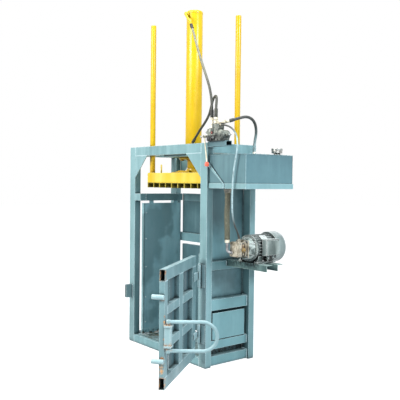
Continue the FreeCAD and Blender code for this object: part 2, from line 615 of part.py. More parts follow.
pressure_union = fuse(hexagon(26, (mx, -116, mz + 50), (mx, -116, mz + 66)),
                      cyl(8, (mx, -116, mz + 62), d_tail), cyl(8, d_tail, route_d[-1]))
put("power_fittings", cut(pressure_union, pump))
sx_e, sy_e, collar_z = route_e[-1]      # where the suction hose meets its pipe
drop = V(sx_e, sy_e, mz + 3)
inward = V(0.47, 0.883, 0).normalize()
turned = drop + (inward - Z) * elbow_bend
suction = fuse(cyl(19, (sx_e, sy_e, collar_z - 25), route_e[-1]),
               cyl(elbow_r, (sx_e, sy_e, collar_z - 23), drop),
               arc(elbow_r, drop, -Z, inward, elbow_bend), cyl(elbow_r, turned, turned + inward * 24),
               cyl(16, turned + inward * 4, turned + inward * 24))
put("power_fittings", cut(suction, pump))

# ---------------------------------------------------------------- valve
vy = valve_y
chan = box(hx, 782, -hy, -hy + 60, 1768, 1808)
put("valve_shelf", chan.cut(box(hx + 4, 790, -hy + 5, -hy + 55, 1773, 1803)))
block = fuse(box(582, 700, vy - 34, vy + 34, 1808, 1905), box(628, 706, vy - 26, vy + 30, 1905, 1938),
             cyl(40, (734, vy - 34, 1850), (734, vy + 34, 1850)), box(700, 768, vy - 30, vy + 30, 1808, 1828),
             cyl(20, (560, vy, 1846), (582, vy, 1846)), cyl(16, (582, vy - 12, 1880), (560, vy - 12, 1880)))
pvx, pvz = 552.0, 1846.0
pin_end = vy - 47.0
put("valve_body", fuse(block, hexagon(30, (768, vy, 1850), (796, vy, 1850)),
                       box(563, 582, vy - 31, vy - 12, pvz - 8, pvz + 10),
                       box(pvx - 6, 566, vy - 31, vy - 23, pvz - 8, pvz + 10),
                       cyl(5, (pvx, pin_end, pvz), (pvx, vy - 26, pvz)),
                       cyl(8, (pvx, pin_end - 4, pvz), (pvx, pin_end + 0.6, pvz))))
for x, z0 in ((594, 1905), (642, 1938)):
    put("valve_fittings", fuse(hexagon(30, (x, vy, z0), (x, vy, z0 + 26)),
                               cyl(12.5, (x, vy, z0 + 20), (x, vy, 1995))))
c_bend = back_along(route_c[0], route_c[1], 24)
put("valve_fittings", fuse(box(676, 706, vy - 20, vy + 20, 1938, 1960),
                           cyl(11, (704, vy, 1950), (752, -246, 1952)),
                           hexagon(26, (728, -248, 1951), (752, -246, 1952)),
                           cyl(11, (750, -247, 1951.5), c_bend), cyl(11, c_bend, route_c[0])))
d_root = back_along(route_d[0], route_d[1], 18.2)
pilot = fuse(cyl(6.5, d_root, route_d[0]), hexagon(18, d_root, back_along(route_d[0], route_d[1], 9)))
put("valve_fittings", cut(pilot, block))
knob_at = (pvx + lever_lean, -290, 1646)
knob = cyl(15, (knob_at[0], knob_at[1], 1612), knob_at)
knob = knob.makeChamfer(6, [e for e in knob.Edges if len(e.Vertexes) == 1])
lever = fuse(cyl(11, (pvx, pin_end + 1, pvz), (pvx, vy - 31.4, pvz)),
             cyl(5, (pvx - 8, -289, pvz), (pvx - 46, -289, pvz)),
             cyl(5, (pvx, -289, pvz - 7), (knob_at[0], knob_at[1], 1640)), knob)
put("valve_lever", lever.cut(cyl(5 + run_clear, (pvx, vy - 60, pvz), (pvx, vy - 10, pvz))))

for key, pts in (("hose_a", route_a), ("hose_b", route_b), ("hose_c", route_c), ("hose_d", route_d),
                 ("hose_e", route_e)):
    hose(key, pts)

for node, solids in nodes.items():
    for solid in solids:
        if not solid.isValid() or len(solid.Solids) != 1 or solid.Volume <= 0:
            print("CHECK", node, solid.isValid(), len(solid.Solids), solid.Volume)
    shape = solids[0] if len(solids) == 1 else Part.makeCompound(solids)
    shape.exportStep("parts/%s.step" % node)
print("nodes", len(nodes))
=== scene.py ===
import math

import bmesh
import bpy
from mathutils import Matrix, Vector


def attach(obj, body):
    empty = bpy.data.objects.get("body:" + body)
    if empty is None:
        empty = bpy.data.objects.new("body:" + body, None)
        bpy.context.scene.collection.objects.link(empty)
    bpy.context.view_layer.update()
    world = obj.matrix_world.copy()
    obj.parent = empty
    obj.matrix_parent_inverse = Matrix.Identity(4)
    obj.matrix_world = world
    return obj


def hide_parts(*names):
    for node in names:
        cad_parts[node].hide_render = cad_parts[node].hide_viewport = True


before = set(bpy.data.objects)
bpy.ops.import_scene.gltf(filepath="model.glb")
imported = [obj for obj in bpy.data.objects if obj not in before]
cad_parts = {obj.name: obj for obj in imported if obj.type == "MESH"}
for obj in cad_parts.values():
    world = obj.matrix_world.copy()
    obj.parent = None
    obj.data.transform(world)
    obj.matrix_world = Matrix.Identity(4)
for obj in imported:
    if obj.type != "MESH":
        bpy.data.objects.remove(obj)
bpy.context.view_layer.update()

MM = 0.001
X, Y, Z = Vector((1, 0, 0)), Vector((0, 1, 0)), Vector((0, 0, 1))


# ---- camera
# fitted to the frame's corners in the photograph: metres, degrees, millimetres
CAMERA_PLACE = (4.300, -3.353, 1.493)
CAMERA_YAW, CAMERA_PITCH, CAMERA_ROLL = map(math.radians, (-51.09, -1.73, 0.62))
CAMERA_LENS = 55.28
CAMERA_SENSOR = 36.0
CAMERA_REACH = 200.0


def make_camera():
    yaw, pitch, roll = CAMERA_YAW, CAMERA_PITCH, CAMERA_ROLL
    ahead = Vector((math.sin(yaw) * math.cos(pitch), math.cos(yaw) * math.cos(pitch), math.sin(pitch)))
    level = Vector((math.cos(yaw), -math.sin(yaw), 0.0))
    upright = level.cross(ahead)
    right = level * math.cos(roll) + upright * math.sin(roll)
    up = upright * math.cos(roll) - level * math.sin(roll)
    data = bpy.data.cameras.new("photo_camera")
    data.sensor_width = CAMERA_SENSOR
    data.lens = CAMERA_LENS
    data.clip_end = CAMERA_REACH
    camera = bpy.data.objects.new("photo_camera", data)
    turn = Matrix((right, up, -ahead)).transposed().to_4x4()
    camera.matrix_world = Matrix.Translation(CAMERA_PLACE) @ turn
    bpy.context.scene.collection.objects.link(camera)
    bpy.context.scene.camera = camera


make_camera()


# ---- colours
def srgb(red, green, blue):
    """a colour as a picture shows it, 0 to 255, as the linear value a shader takes"""
    def linear(value):
        v = value / 255
        return v / 12.92 if v <= 0.04045 else ((v + 0.055) / 1.055) ** 2.4
    return (linear(red), linear(green), linear(blue), 1.0)


def tones(*colours):
    return tuple(srgb(*colour) for colour in colours)


# enamels: deep, middle and pale tone, pale tone of dust and of painted edge highlights, painted shade for
# nooks and slots
BLUE = tones((100, 135, 140), (121, 157, 163), (141, 175, 181), (200, 220, 224), (34, 50, 55))
BLUE_DOOR = tones((88, 118, 124), (106, 139, 146), (125, 157, 163), (190, 211, 213), (28, 41, 45))
BLUE_SIDE = tones((92, 128, 136), (110, 148, 156), (130, 166, 173), (188, 214, 218), (26, 38, 42))
# a darkened copy of the blue: painted shade for the chamber's rear panel and door sheet and the valve shelf
BLUE_SHADED = tones((66, 96, 104), (82, 114, 122), (98, 130, 138), (150, 182, 188), (20, 30, 34))
# a paler copy of the blue: painted highlight on the weld beads and the wall's bolts
BLUE_WELD_HIGHLIT = tones((120, 151, 159), (138, 169, 177), (154, 184, 191), (196, 218, 222), (30, 44, 48))
# a paler copy of the blue: painted light on the hinges, keepers, handle, pegs and latch bearing
BLUE_TUBE_LIT = tones((122, 152, 158), (142, 172, 178), (158, 187, 191), (204, 222, 224), (24, 36, 40))
# a brightened copy of the blue: painted light for the low side panel and beams, with near black painted shade
# in their slots
BLUE_LOW_LIT = tones((96, 137, 144), (112, 155, 162), (129, 170, 177), (196, 222, 226), (14, 22, 24))
# a lightened copy of the blue: painted light for the left wall, which stands in shade
BLUE_LEFT_LIT = tones((138, 184, 195), (162, 208, 218), (178, 218, 226), (214, 234, 237), (26, 38, 42))
# a darkened copy of the blue: painted shade for the arms under the motor
BLUE_ARM_SHADED = tones((66, 88, 88), (86, 112, 112), (112, 138, 136), (186, 208, 204), (16, 22, 22))
# a darkened copy of the blue: painted shade on the door's strips behind the lattice
BLUE_STRIP_SHADED = tones((42, 67, 75), (56, 85, 93), (73, 104, 112), (124, 156, 162), (10, 16, 18))
TANK_BLUE = tones((73, 104, 113), (87, 122, 130), (101, 136, 143), (150, 182, 188), (26, 38, 42))
YELLOW = tones((194, 156, 8), (208, 172, 10), (214, 181, 22), (240, 212, 80), (84, 64, 8))
# a paler copy of the yellow for the platen: partly worn paint, partly painted highlight
PLATEN_YELLOW = tones((204, 172, 28), (214, 188, 62), (228, 208, 112), (250, 236, 166), (84, 66, 8))
# a darkened copy of the yellow: painted shade for the platen's ribbed underside, near black in its pockets
RIB_YELLOW_SHADED = tones((112, 100, 22), (146, 130, 34), (184, 164, 52), (240, 222, 120), (20, 20, 12))
MOTOR = tones((76, 88, 86), (128, 142, 139), (190, 203, 199), (240, 246, 244), (8, 11, 11))
COWL = tones((106, 119, 119), (136, 150, 149), (176, 189, 187), (238, 244, 243), (14, 19, 19))

# what lies or grows on the enamel, and painted shade: dark, middle and pale tone
RUST = tones((112, 72, 44), (184, 124, 74), (212, 164, 110))
# painted shade: near black blotches where shade falls
PAINTED_SHADE_TONES = tones((14, 19, 20), (22, 30, 31), (34, 44, 45))
DEBRIS = tones((28, 28, 22), (66, 64, 48), (104, 98, 74))
LOW_GRIME = srgb(92, 96, 84)
DAMP_PATCH = srgb(40, 62, 68)
# painted shade in the crevices of bare metal
CREVICE_SHADE = srgb(26, 26, 24)


# ---- shader helpers
class Nodes:
    """Short calls for the nodes of a material or world."""

    def __init__(self, owner):
        owner.use_nodes = True
        self.tree = owner.node_tree

    def node(self, kind, inputs=(), **settings):
        made = self.tree.nodes.new(kind)
        for key, value in settings.items():
            setattr(made, key, value)
        for key, value in dict(inputs).items():
            self.feed(made.inputs[key], value)
        return made

    def feed(self, socket, value):
        if isinstance(value, bpy.types.NodeSocket):
            self.tree.links.new(value, socket)
        else:
            socket.default_value = value

    def math(self, operation, a, b=0.0):
        return self.node("ShaderNodeMath", {0: a, 1: b}, operation=operation).outputs[0]


class Shader(Nodes):
    """A Principled material, with short calls for the patterns on it."""

    def __init__(self, name, metallic=0.0, roughness=0.45):
        self.material = bpy.data.materials.new(name)
        super().__init__(self.material)
        self.surface = self.tree.nodes["Principled BSDF"]
        self.surface.inputs["Metallic"].default_value = metallic
        self.surface.inputs["Roughness"].default_value = roughness
        self.place = self.tree.nodes.new("ShaderNodeTexCoord").outputs["Object"]

    def stretch(self, x, y, z):
        return self.node("ShaderNodeMapping", {"Vector": self.place, "Scale": (x, y, z)}).outputs[0]

    def noise(self, scale, detail=3.0, roughness=0.55, vector=None):
        inputs = {"Vector": vector or self.place, "Scale": scale, "Detail": detail, "Roughness": roughness}
        return self.node("ShaderNodeTexNoise", inputs).outputs["Fac"]

    def between(self, value, low, high, to_low=0.0, to_high=1.0):
        inputs = {"Value": value, "From Min": low, "From Max": high, "To Min": to_low, "To Max": to_high}
        return self.node("ShaderNodeMapRange", inputs, interpolation_type="SMOOTHSTEP").outputs[0]

    def both(self, a, b):
        return self.math("MULTIPLY", a, b)

    def mix(self, share, a, b):
        """colour from a to b; the colour sockets of a Mix node are its inputs 6 and 7 and its output 2"""
        return self.node("ShaderNodeMix", {"Factor": share, 6: a, 7: b}, data_type="RGBA").outputs[2]

    def along(self, axis):
        return self.node("ShaderNodeSeparateXYZ", {"Vector": self.place}).outputs[axis]

    def near(self, point, radius):
        """1 at the point, falling to 0 at the radius"""
        gap = self.node("ShaderNodeVectorMath", {0: self.place, 1: point}, operation="DISTANCE")
        return self.between(gap.outputs["Value"], radius, radius * 0.25)

    def edges(self, radius, low=0.03, high=0.25):
        """1 on edges and corners, 0 on flat faces"""
        rounded = self.node("ShaderNodeBevel", {"Radius": radius}, samples=6).outputs[0]
        flat = self.node("ShaderNodeNewGeometry").outputs["Normal"]
        turn = self.node("ShaderNodeVectorMath", {0: rounded, 1: flat}, operation="DOT_PRODUCT")
        return self.between(turn.outputs["Value"], 1.0 - low, 1.0 - high)

    def crevice(self, reach, low=0.45, high=0.92):
        """1 in inside corners and under ledges, 0 in the open"""
        shelter = self.node("ShaderNodeAmbientOcclusion", {"Distance": reach}, samples=6).outputs["AO"]
        return self.between(shelter, high, low)

    def facing_up(self):
        normal = self.node("ShaderNodeNewGeometry").outputs["Normal"]
        z = self.node("ShaderNodeSeparateXYZ", {"Vector": normal}).outputs["Z"]
        return self.between(z, 0.6, 0.98)

    def colour(self, value):
        self.feed(self.surface.inputs["Base Color"], value)

    def rough(self, value):
        self.feed(self.surface.inputs["Roughness"], value)

    def bump(self, *layers):
        """layers of (height, strength, distance), the finest last"""
        normal = None
        for height, strength, distance in layers:
            made = self.node("ShaderNodeBump", {"Height": height, "Strength": strength, "Distance": distance})
            if normal:
                self.feed(made.inputs["Normal"], normal)
            normal = made.outputs[0]
        self.feed(self.surface.inputs["Normal"], normal)


# ---- layers of the enamel
def sprayed(s, deep, mid, pale, mottle):
    """cloudy tone with pale runs and deeper mottling"""
    clouds = s.noise(1.7, 4.0, 0.6)
    streaks = s.noise(9.0, 4.0, 0.6, s.stretch(1.0, 1.0, 0.10))
    tone = s.mix(s.between(clouds, 0.32, 0.66), deep, mid)
    tone = s.mix(s.between(streaks, 0.42, 0.72, 0.0, 0.65), tone, pale)
    return s.mix(s.between(mottle, 0.52, 0.78, 0.0, 0.35), tone, deep)


def dust_and_edge_highlight(s, tone, dust_and_highlight, mottle):
    """dust on level faces, and a painted highlight along every edge, broken up by noise"""
    dust = s.both(s.facing_up(), s.between(mottle, 0.3, 0.7, 0.15, 0.5))
    tone = s.mix(dust, tone, dust_and_highlight)
    highlight_breaks = s.between(s.noise(60.0, 5.0, 0.7), 0.40, 0.60)
    # painted highlight: edges turn pale
    edge_highlight = s.both(s.edges(0.0065, 0.02, 0.16), s.between(highlight_breaks, 0.0, 1.0, 0.6, 1.0))
    return s.mix(edge_highlight, tone, dust_and_highlight)


def painted_nook_shade(s, tone, shade, mottle, nook, slot):
    """painted shade: dark in nooks a few centimetres deep, and darker in slots that reach deeper"""
    if nook:
        corner = s.both(s.crevice(nook), s.between(mottle, 0.25, 0.65, 0.55, 0.95))
        tone = s.mix(corner, tone, shade)
    if slot:
        tone = s.mix(s.both(s.crevice(slot, 0.16, 0.56), 0.9), tone, shade)
    return tone


def splashed(s, tone, share):
    """grime near the floor"""
    low = s.between(s.along("Z"), 0.35, 0.0, 0.0, share)
    return s.mix(s.both(low, s.between(s.noise(6.0, 6.0, 0.7), 0.42, 0.7)), tone, LOW_GRIME)


def blotched(s, tone, spots, spot_tones):
    """ragged blotches round each (point, radius)"""
    blotch = s.noise(36.0, 8.0, 0.72)
    cover = 0.0
    for point, radius in spots:
        spot = s.both(s.near(point, radius), s.between(blotch, 0.40, 0.58))
        cover = s.math("MAXIMUM", cover, spot)
    dark, middle, pale = spot_tones
    spot_tone = s.mix(s.between(s.noise(90.0, 6.0, 0.7), 0.35, 0.65), dark, middle)
    spot_tone = s.mix(s.between(s.noise(41.0, 3.0), 0.45, 0.65), spot_tone, pale)
    return s.mix(cover, tone, spot_tone)


def paint(name, palette, spots=(), spot_tones=RUST, low_grime=0.25, gloss=0.38, nook=0.035, slot=0.14,
          patches=0.0, shade_band=None):
    """Sprayed enamel on welded steel. Its last argument is (axis, start, stop, share): painted shade that
    grows along an axis.
    """
    deep, mid, pale, dust_and_highlight, shade = palette
    s = Shader(name, roughness=gloss)
    s.surface.inputs["Specular IOR Level"].default_value = 0.36
    s.surface.inputs["Coat Weight"].default_value = 0.05
    s.surface.inputs["Coat Roughness"].default_value = 0.25
    mottle = s.noise(34.0, 5.0, 0.65)
    tone = sprayed(s, deep, mid, pale, mottle)
    # dust, and a painted highlight along edges
    tone = dust_and_edge_highlight(s, tone, dust_and_highlight, mottle)
    # painted shade in nooks and slots
    tone = painted_nook_shade(s, tone, shade, mottle, nook, slot)
    tone = splashed(s, tone, low_grime)
    if patches:
        tone = s.mix(s.between(s.noise(3.6, 3.0, 0.5), 0.46, 0.60, 0.0, patches), tone, DAMP_PATCH)
    # painted shade along an axis
    if shade_band:
        axis, start, stop, share = shade_band
        tone = s.mix(s.between(s.along(axis), start, stop, 0.0, share), tone, shade)
    if spots:
        tone = blotched(s, tone, spots, spot_tones)
    s.colour(tone)
    s.rough(s.between(s.noise(5.0, 4.0), 0.3, 0.7, gloss - 0.08, gloss + 0.14))
    s.bump((s.noise(4.0, 2.0), 0.10, 0.004), (mottle, 0.06, 0.0006), (s.noise(420.0, 2.0), 0.10, 0.0004))
    return s.material


def bare_metal(name, dark, light, roughness=0.32, metallic=1.0, scratch=0.5, speck=None, stain_and_shadow=None,
               beyond=None):
    """Machined, plated or cast metal, with a painted highlight along its edges and painted shade in its
    crevices.
    The patch round a point, ((point, radius), tone), is a real stain on the pump and a painted shadow on the
    tank's outlet;
    beyond is (axis, start, stop, dark, light) for the part of a piece that has another finish."""
    s = Shader(name, metallic, roughness)
    clouds = s.noise(26.0, 5.0, 0.62)
    tone = s.mix(s.between(clouds, 0.34, 0.66), dark, light)
    scratches = s.noise(220.0, 4.0, 0.7, s.stretch(1.0, 1.0, 0.06))
    tone = s.mix(s.between(scratches, 0.5, 0.8, 0.0, scratch), tone, dark)
    if speck:
        tone = s.mix(s.between(s.noise(120.0, 6.0, 0.75), 0.60, 0.66, 0.0, 0.8), tone, speck)
    # a patch of tone round a point: a real stain on the pump, a painted shadow on the tank's outlet
    if stain_and_shadow:
        (point, radius), patch_tone = stain_and_shadow
        cover = s.both(s.near(point, radius), s.between(clouds, 0.3, 0.6, 0.5, 1.0))
        tone = s.mix(cover, tone, patch_tone)
    if beyond:
        axis, start, stop, other_dark, other_light = beyond
        other = s.mix(s.between(clouds, 0.34, 0.66), other_dark, other_light)
        tone = s.mix(s.between(s.along(axis), start, stop), tone, other)
    # painted highlight along edges
    tone = s.mix(s.both(s.edges(0.0015), 0.5), tone, light)
    # painted shade in crevices
    tone = s.mix(s.both(s.crevice(0.018), 0.85), tone, CREVICE_SHADE)
    s.colour(tone)
    s.rough(s.between(clouds, 0.3, 0.7, roughness - 0.08, roughness + 0.16))
    s.bump((s.noise(140.0, 4.0), 0.16, 0.0005), (scratches, 0.12, 0.0003))
    return s.material


def rubber(name, base, bloom, mist_tone=None, mist_low=0.0, mist_high=0.0, gloss=0.5, bare_below=0.0):
    """Hose cover: wrapped-fabric texture, pale scuffs, and paint mist between two heights."""
    s = Shader(name, roughness=gloss)
    scuff = s.noise(55.0, 6.0, 0.7)
    tone = s.mix(s.between(scuff, 0.48, 0.74, 0.0, 0.7), base, bloom)
    if mist_tone:
        zone = s.between(s.along("Z"), mist_high, mist_low)
        zone = s.math("MINIMUM", zone, s.between(s.along("Z"), bare_below - 0.05, bare_below + 0.08))
        mist = s.between(s.noise(38.0, 5.0, 0.65), 0.25, 0.62, 0.35, 1.0)
        tone = s.mix(s.both(zone, mist), tone, mist_tone)
    s.colour(tone)
    s.rough(s.between(scuff, 0.3, 0.7, gloss - 0.1, gloss + 0.2))
    waves = {"Vector": s.place, "Scale": 110.0, "Distortion": 0.6}
    wrap = s.node("ShaderNodeTexWave", waves, bands_direction="Z").outputs["Fac"]
    s.bump((wrap, 0.20, 0.0004), (s.noise(300.0, 3.0), 0.2, 0.0003))
    return s.material


# ---- the stored door's own directions
DOOR_AXIS = Vector((0.496, -0.280, 0.0))
DOOR_ANGLE = math.radians(126.8)
DOOR_TURN = Matrix.Rotation(DOOR_ANGLE, 3, "Z")
DOOR_OUTWARD = DOOR_TURN @ -Y
DOOR_FREE_WAY = DOOR_TURN @ -X


def on_door(s, t, z):
    """point at s from the hinge, t inwards, height z, with the door as stored, in metres"""
    return DOOR_AXIS + DOOR_TURN @ Vector((-s, t, 0.0)) + Vector((0, 0, z))


def on_door_mm(s, t, z):
    return on_door(s * MM, t * MM, z * MM) / MM


# ---- where rust and dirt sit, and where painted shade sits: (point, radius)
latch_rust = [(on_door(0.872, t, z), 0.026) for t in (-0.028, 0.004) for z in (0.386, 0.404, 0.538)]
door_rust = latch_rust + [(on_door(0.869, 0.03, z), 0.022) for z in (0.276, 0.306, 0.708)]
door_rust += [(on_door(0.868, 0.040, z), 0.030) for z in (0.100, 0.225, 0.250)]
door_rust += [(on_door(0.866, 0.014, z), 0.016) for z in (0.440, 0.558, 0.590)]
door_rust += [(on_door(0.858, t, z), 0.030) for t in (0.022, 0.046) for z in (0.125, 0.165, 0.845, 0.885)]
dirty_floor = ((-0.30, -0.15), (-0.10, -0.17), (-0.42, 0.02), (-0.15, 0.10))
floor_dirt = [((x, y, 0.085), 0.17) for x, y in dirty_floor]
wall_foot_dirt = [((-0.41, y, 0.086), 0.034) for y in (-0.212, -0.18, -0.15, -0.12, -0.09, -0.06, -0.03, 0.0)]
# painted shade in the slot under the right side's low beam
low_slot_shade = [((0.48, 0.05 * step, 0.094), 0.090) for step in range(-5, 6)]
# painted shadow on the arms under the motor and pump
under_motor_shade = [((x, y, 0.866), 0.072) for x in (0.62, 0.67, 0.72, 0.77, 0.82, 0.87) for y in (-0.02, 0.10)]

# ---- enamels
frame_paint = paint("frame_enamel", BLUE)
wall_paint = paint("wall_enamel", BLUE_SIDE)
# painted light: the low side panel and beams take a brightened blue
low_paint = paint("low_panel_enamel", BLUE_LOW_LIT, low_grime=0.1, nook=0.02, slot=0.0)
low_beam_paint = paint("low_beam_enamel", BLUE_LOW_LIT, low_grime=0.15, nook=0.03, slot=0.10)
# painted light: the left wall takes a lightened blue, and painted shade darkens its lit front lip
left_paint = paint("left_wall_enamel", BLUE_LEFT_LIT, wall_foot_dirt, DEBRIS, low_grime=0.1, nook=0.015,
                   slot=0.0, patches=0.42, shade_band=("Y", -0.194, -0.203, 0.38))
# painted shade on the right wall: darker toward the top, under the tank, and near black in the low slot
right_paint = paint("right_wall_enamel", BLUE_SIDE, low_slot_shade, PAINTED_SHADE_TONES, low_grime=0.1, patches=0.35,
                    shade_band=("Z", 0.74, 1.10, 0.18))
# painted shade and painted shadow on the arms under the motor
arm_paint = paint("arm_enamel", BLUE_ARM_SHADED, under_motor_shade, PAINTED_SHADE_TONES, low_grime=0.0)
# painted shade: the door's strips take a darkened blue
strip_paint = paint("door_strip_enamel", BLUE_STRIP_SHADED, slot=0.06)
shelf_paint = paint("shelf_enamel", BLUE, nook=0.015, slot=0.0)
tank_paint = paint("tank_enamel", TANK_BLUE, nook=0.012, slot=0.0)
# painted shade: the rear panel, rear door sheet and valve shelf take a darkened blue
inner_paint = paint("inner_enamel", BLUE_SHADED)
# painted highlight: weld beads and bolts take a paler blue
weld_paint = paint("weld_enamel", BLUE_WELD_HIGHLIT, nook=0.0, slot=0.0)
# painted light: tubes and hinges take a paler blue
tube_paint = paint("tube_enamel", BLUE_TUBE_LIT, latch_rust, nook=0.012, slot=0.0)
hinge_paint = paint("hinge_enamel", BLUE_TUBE_LIT, nook=0.03, slot=0.04)
floor_paint = paint("floor_enamel", BLUE_SIDE, floor_dirt, DEBRIS, low_grime=0.9)
door_paint = paint("door_enamel", BLUE_DOOR, door_rust)
press_paint = paint("press_enamel", YELLOW, low_grime=0.0, gloss=0.32)
platen_paint = paint("platen_enamel", PLATEN_YELLOW, low_grime=0.0, gloss=0.36)
# painted shade on the platen's ribs
rib_paint = paint("rib_enamel", RIB_YELLOW_SHADED, low_grime=0.0, gloss=0.4, nook=0.09, slot=0.12)
motor_paint = paint("motor_enamel", MOTOR, low_grime=0.0, gloss=0.28, nook=0.045, slot=0.06)
box_paint = paint("box_enamel", COWL, low_grime=0.0, gloss=0.34, nook=0.02, slot=0.0)
cowl_paint = paint("cowl_enamel", COWL, low_grime=0.0, gloss=0.28, nook=0.02, slot=0.0)

# ---- metals
CREAM = tones((206, 196, 168), (236, 228, 204))
SIGNAL_RED = tones((206, 70, 46), (236, 104, 78))

chrome = bare_metal("hard_chrome", *tones((150, 152, 154), (216, 218, 220)), roughness=0.12, scratch=0.2)
steel = bare_metal("ground_steel", *tones((120, 120, 118), (178, 178, 174)), roughness=0.34)
plated = bare_metal(
    "plated_fitting", *tones((184, 178, 156), (238, 232, 214)),
    roughness=0.34, metallic=0.35, scratch=0.35)
bolt_steel = bare_metal(
    "bolt_steel", *tones((84, 88, 88), (168, 172, 170)),
    roughness=0.36, metallic=0.8, scratch=0.4)
# the pump is cast metal with a reddish stain, and its bell housing is painted like the motor
pump_metal = bare_metal(
    "pump_casting", *tones((132, 125, 108), (192, 185, 168)),
    roughness=0.46, metallic=0.15, scratch=0.3, speck=srgb(104, 110, 102),
    stain_and_shadow=(((0.812, -0.112, 0.985), 0.046), srgb(150, 118, 84)),
    beyond=("Y", -0.0725, -0.0715, MOTOR[0], MOTOR[2]))
# the tank's outlet is darkened by a painted shadow from the tank above it, and the pump's elbow is bare steel
# below its union
power_plated = bare_metal(
    "power_fitting", *tones((176, 170, 150), (236, 232, 218)),
    roughness=0.36, metallic=0.3, scratch=0.3,
    stain_and_shadow=(((0.735, -0.200, 1.421), 0.075), srgb(46, 50, 46)),
    beyond=("Z", 1.0205, 1.0195, *tones((104, 104, 106), (164, 164, 166))))
brass = bare_metal("brass_plug", *tones((78, 62, 32), (166, 138, 82)), roughness=0.30, metallic=0.6)
# the valve block is darker at its foot
valve_metal = bare_metal(
    "valve_casting", *tones((78, 86, 82), (158, 163, 154)),
    roughness=0.40, metallic=0.3, scratch=0.3, speck=srgb(40, 42, 42),
    beyond=("Z", 1.862, 1.846, *tones((36, 41, 40), (96, 102, 98))))
red_plug = bare_metal(
    "red_plug", *tones((104, 44, 40), (150, 68, 60)),
    roughness=0.42, metallic=0.0, scratch=0.3)
blank_tag = bare_metal(
    "blank_tag", *tones((206, 216, 214), (236, 242, 240)),
    roughness=0.3, metallic=0.2, scratch=0.2)
# the lever is cream down to its red grip
lever_cream = bare_metal(
    "lever_enamel", *CREAM, roughness=0.4, metallic=0.0, scratch=0.3,
    beyond=("Z", 1.6485, 1.6475, *SIGNAL_RED))
red_grip = bare_metal("red_grip", *SIGNAL_RED, roughness=0.36, metallic=0.0, scratch=0.2)
# near black: painted shade as a block at the valve, and the dark sleeve of hose_a
dark_sleeve_and_shade = bare_metal(
    "dark_sleeve_and_shade", *tones((24, 26, 26), (48, 50, 50)),
    roughness=0.5, metallic=0.0, scratch=0.2)

# ---- hose covers
black_hose = rubber("black_hose", *tones((44, 46, 40), (98, 100, 84)))
upper_hose = rubber(
    "upper_hose", *tones((46, 48, 43), (100, 104, 90), (138, 138, 118)),
    mist_low=2.66, mist_high=2.16)
tank_hose = rubber(
    "tank_hose", *tones((48, 50, 48), (100, 106, 102), (148, 170, 172)),
    mist_low=1.78, mist_high=1.94)
thin_hose = rubber(
    "thin_hose", *tones((58, 60, 58), (112, 116, 112), (158, 186, 192)),
    mist_low=1.82, mist_high=1.90, bare_below=1.20)
suction_hose = rubber("suction_hose", *tones((72, 73, 58), (132, 132, 112)), gloss=0.6)

# ---- finishes of the CAD nodes
FINISH = {
    floor_paint: ("floor_plate",),
    wall_paint: ("rear_beams", "rail_left"),
    left_paint: ("wall_left",),
    right_paint: ("wall_right",),
    low_paint: ("side_panel_low",),
    low_beam_paint: ("side_beams", "base_beams"),
    tank_paint: ("tank_shell", "tank_lid"),
    shelf_paint: ("tank_shelf",),
    inner_paint: ("rear_panel", "rear_door_sheet", "valve_shelf"),
    arm_paint: ("motor_arms",),
    strip_paint: ("door_strips",),
    hinge_paint: ("hinges_fixed", "door_hinge_leaves", "hinge_pins", "keepers"),
    door_paint: ("door_rails", "door_uprights", "door_bars"),
    tube_paint: ("door_pegs", "latch_handle", "latch_bearing"),
    press_paint: ("barrel", "gland_flange", "cylinder_ports", "guide_rods", "platen_saddle"),
    platen_paint: ("platen_body",),
    rib_paint: ("platen_ribs",),
    motor_paint: ("motor_body", "motor_bells"),
    box_paint: ("terminal_box",),
    cowl_paint: ("motor_cowl",),
    chrome: ("piston_rod",),
    steel: ("motor_rotor", "breather"),
    plated: ("valve_fittings",),
    power_plated: ("power_fittings",),
    pump_metal: ("pump_body",),
    valve_metal: ("valve_body",),
    lever_cream: ("valve_lever",),
}
FINISH_OF = {node: finish for finish, nodes in FINISH.items() for node in nodes}
EDGE_ROUND = {"motor_body": 0.0006, "motor_rotor": 0.0006, "valve_lever": 0.0006, "platen_ribs": 0.0012}
USUAL_EDGE_ROUND = 0.0018
JOINED_WITHIN = 0.00002


def round_edges(piece, width):
    bevel = piece.modifiers.new("soft_edges", "BEVEL")
    bevel.width = width
    bevel.segments = 2
    bevel.limit_method = "ANGLE"
    bevel.angle_limit = math.radians(38)
    return bevel


def dress(node, piece):
    """finish and softly rounded edges for a carried-over CAD node"""
    piece.data.materials.clear()
    piece.data.materials.append(FINISH_OF.get(node, frame_paint))
    weld = piece.modifiers.new("weld", "WELD")
    weld.merge_threshold = JOINED_WITHIN
    round_edges(piece, EDGE_ROUND.get(node, USUAL_EDGE_ROUND)).harden_normals = True


for node_name, node_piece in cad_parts.items():
    dress(node_name, node_piece)

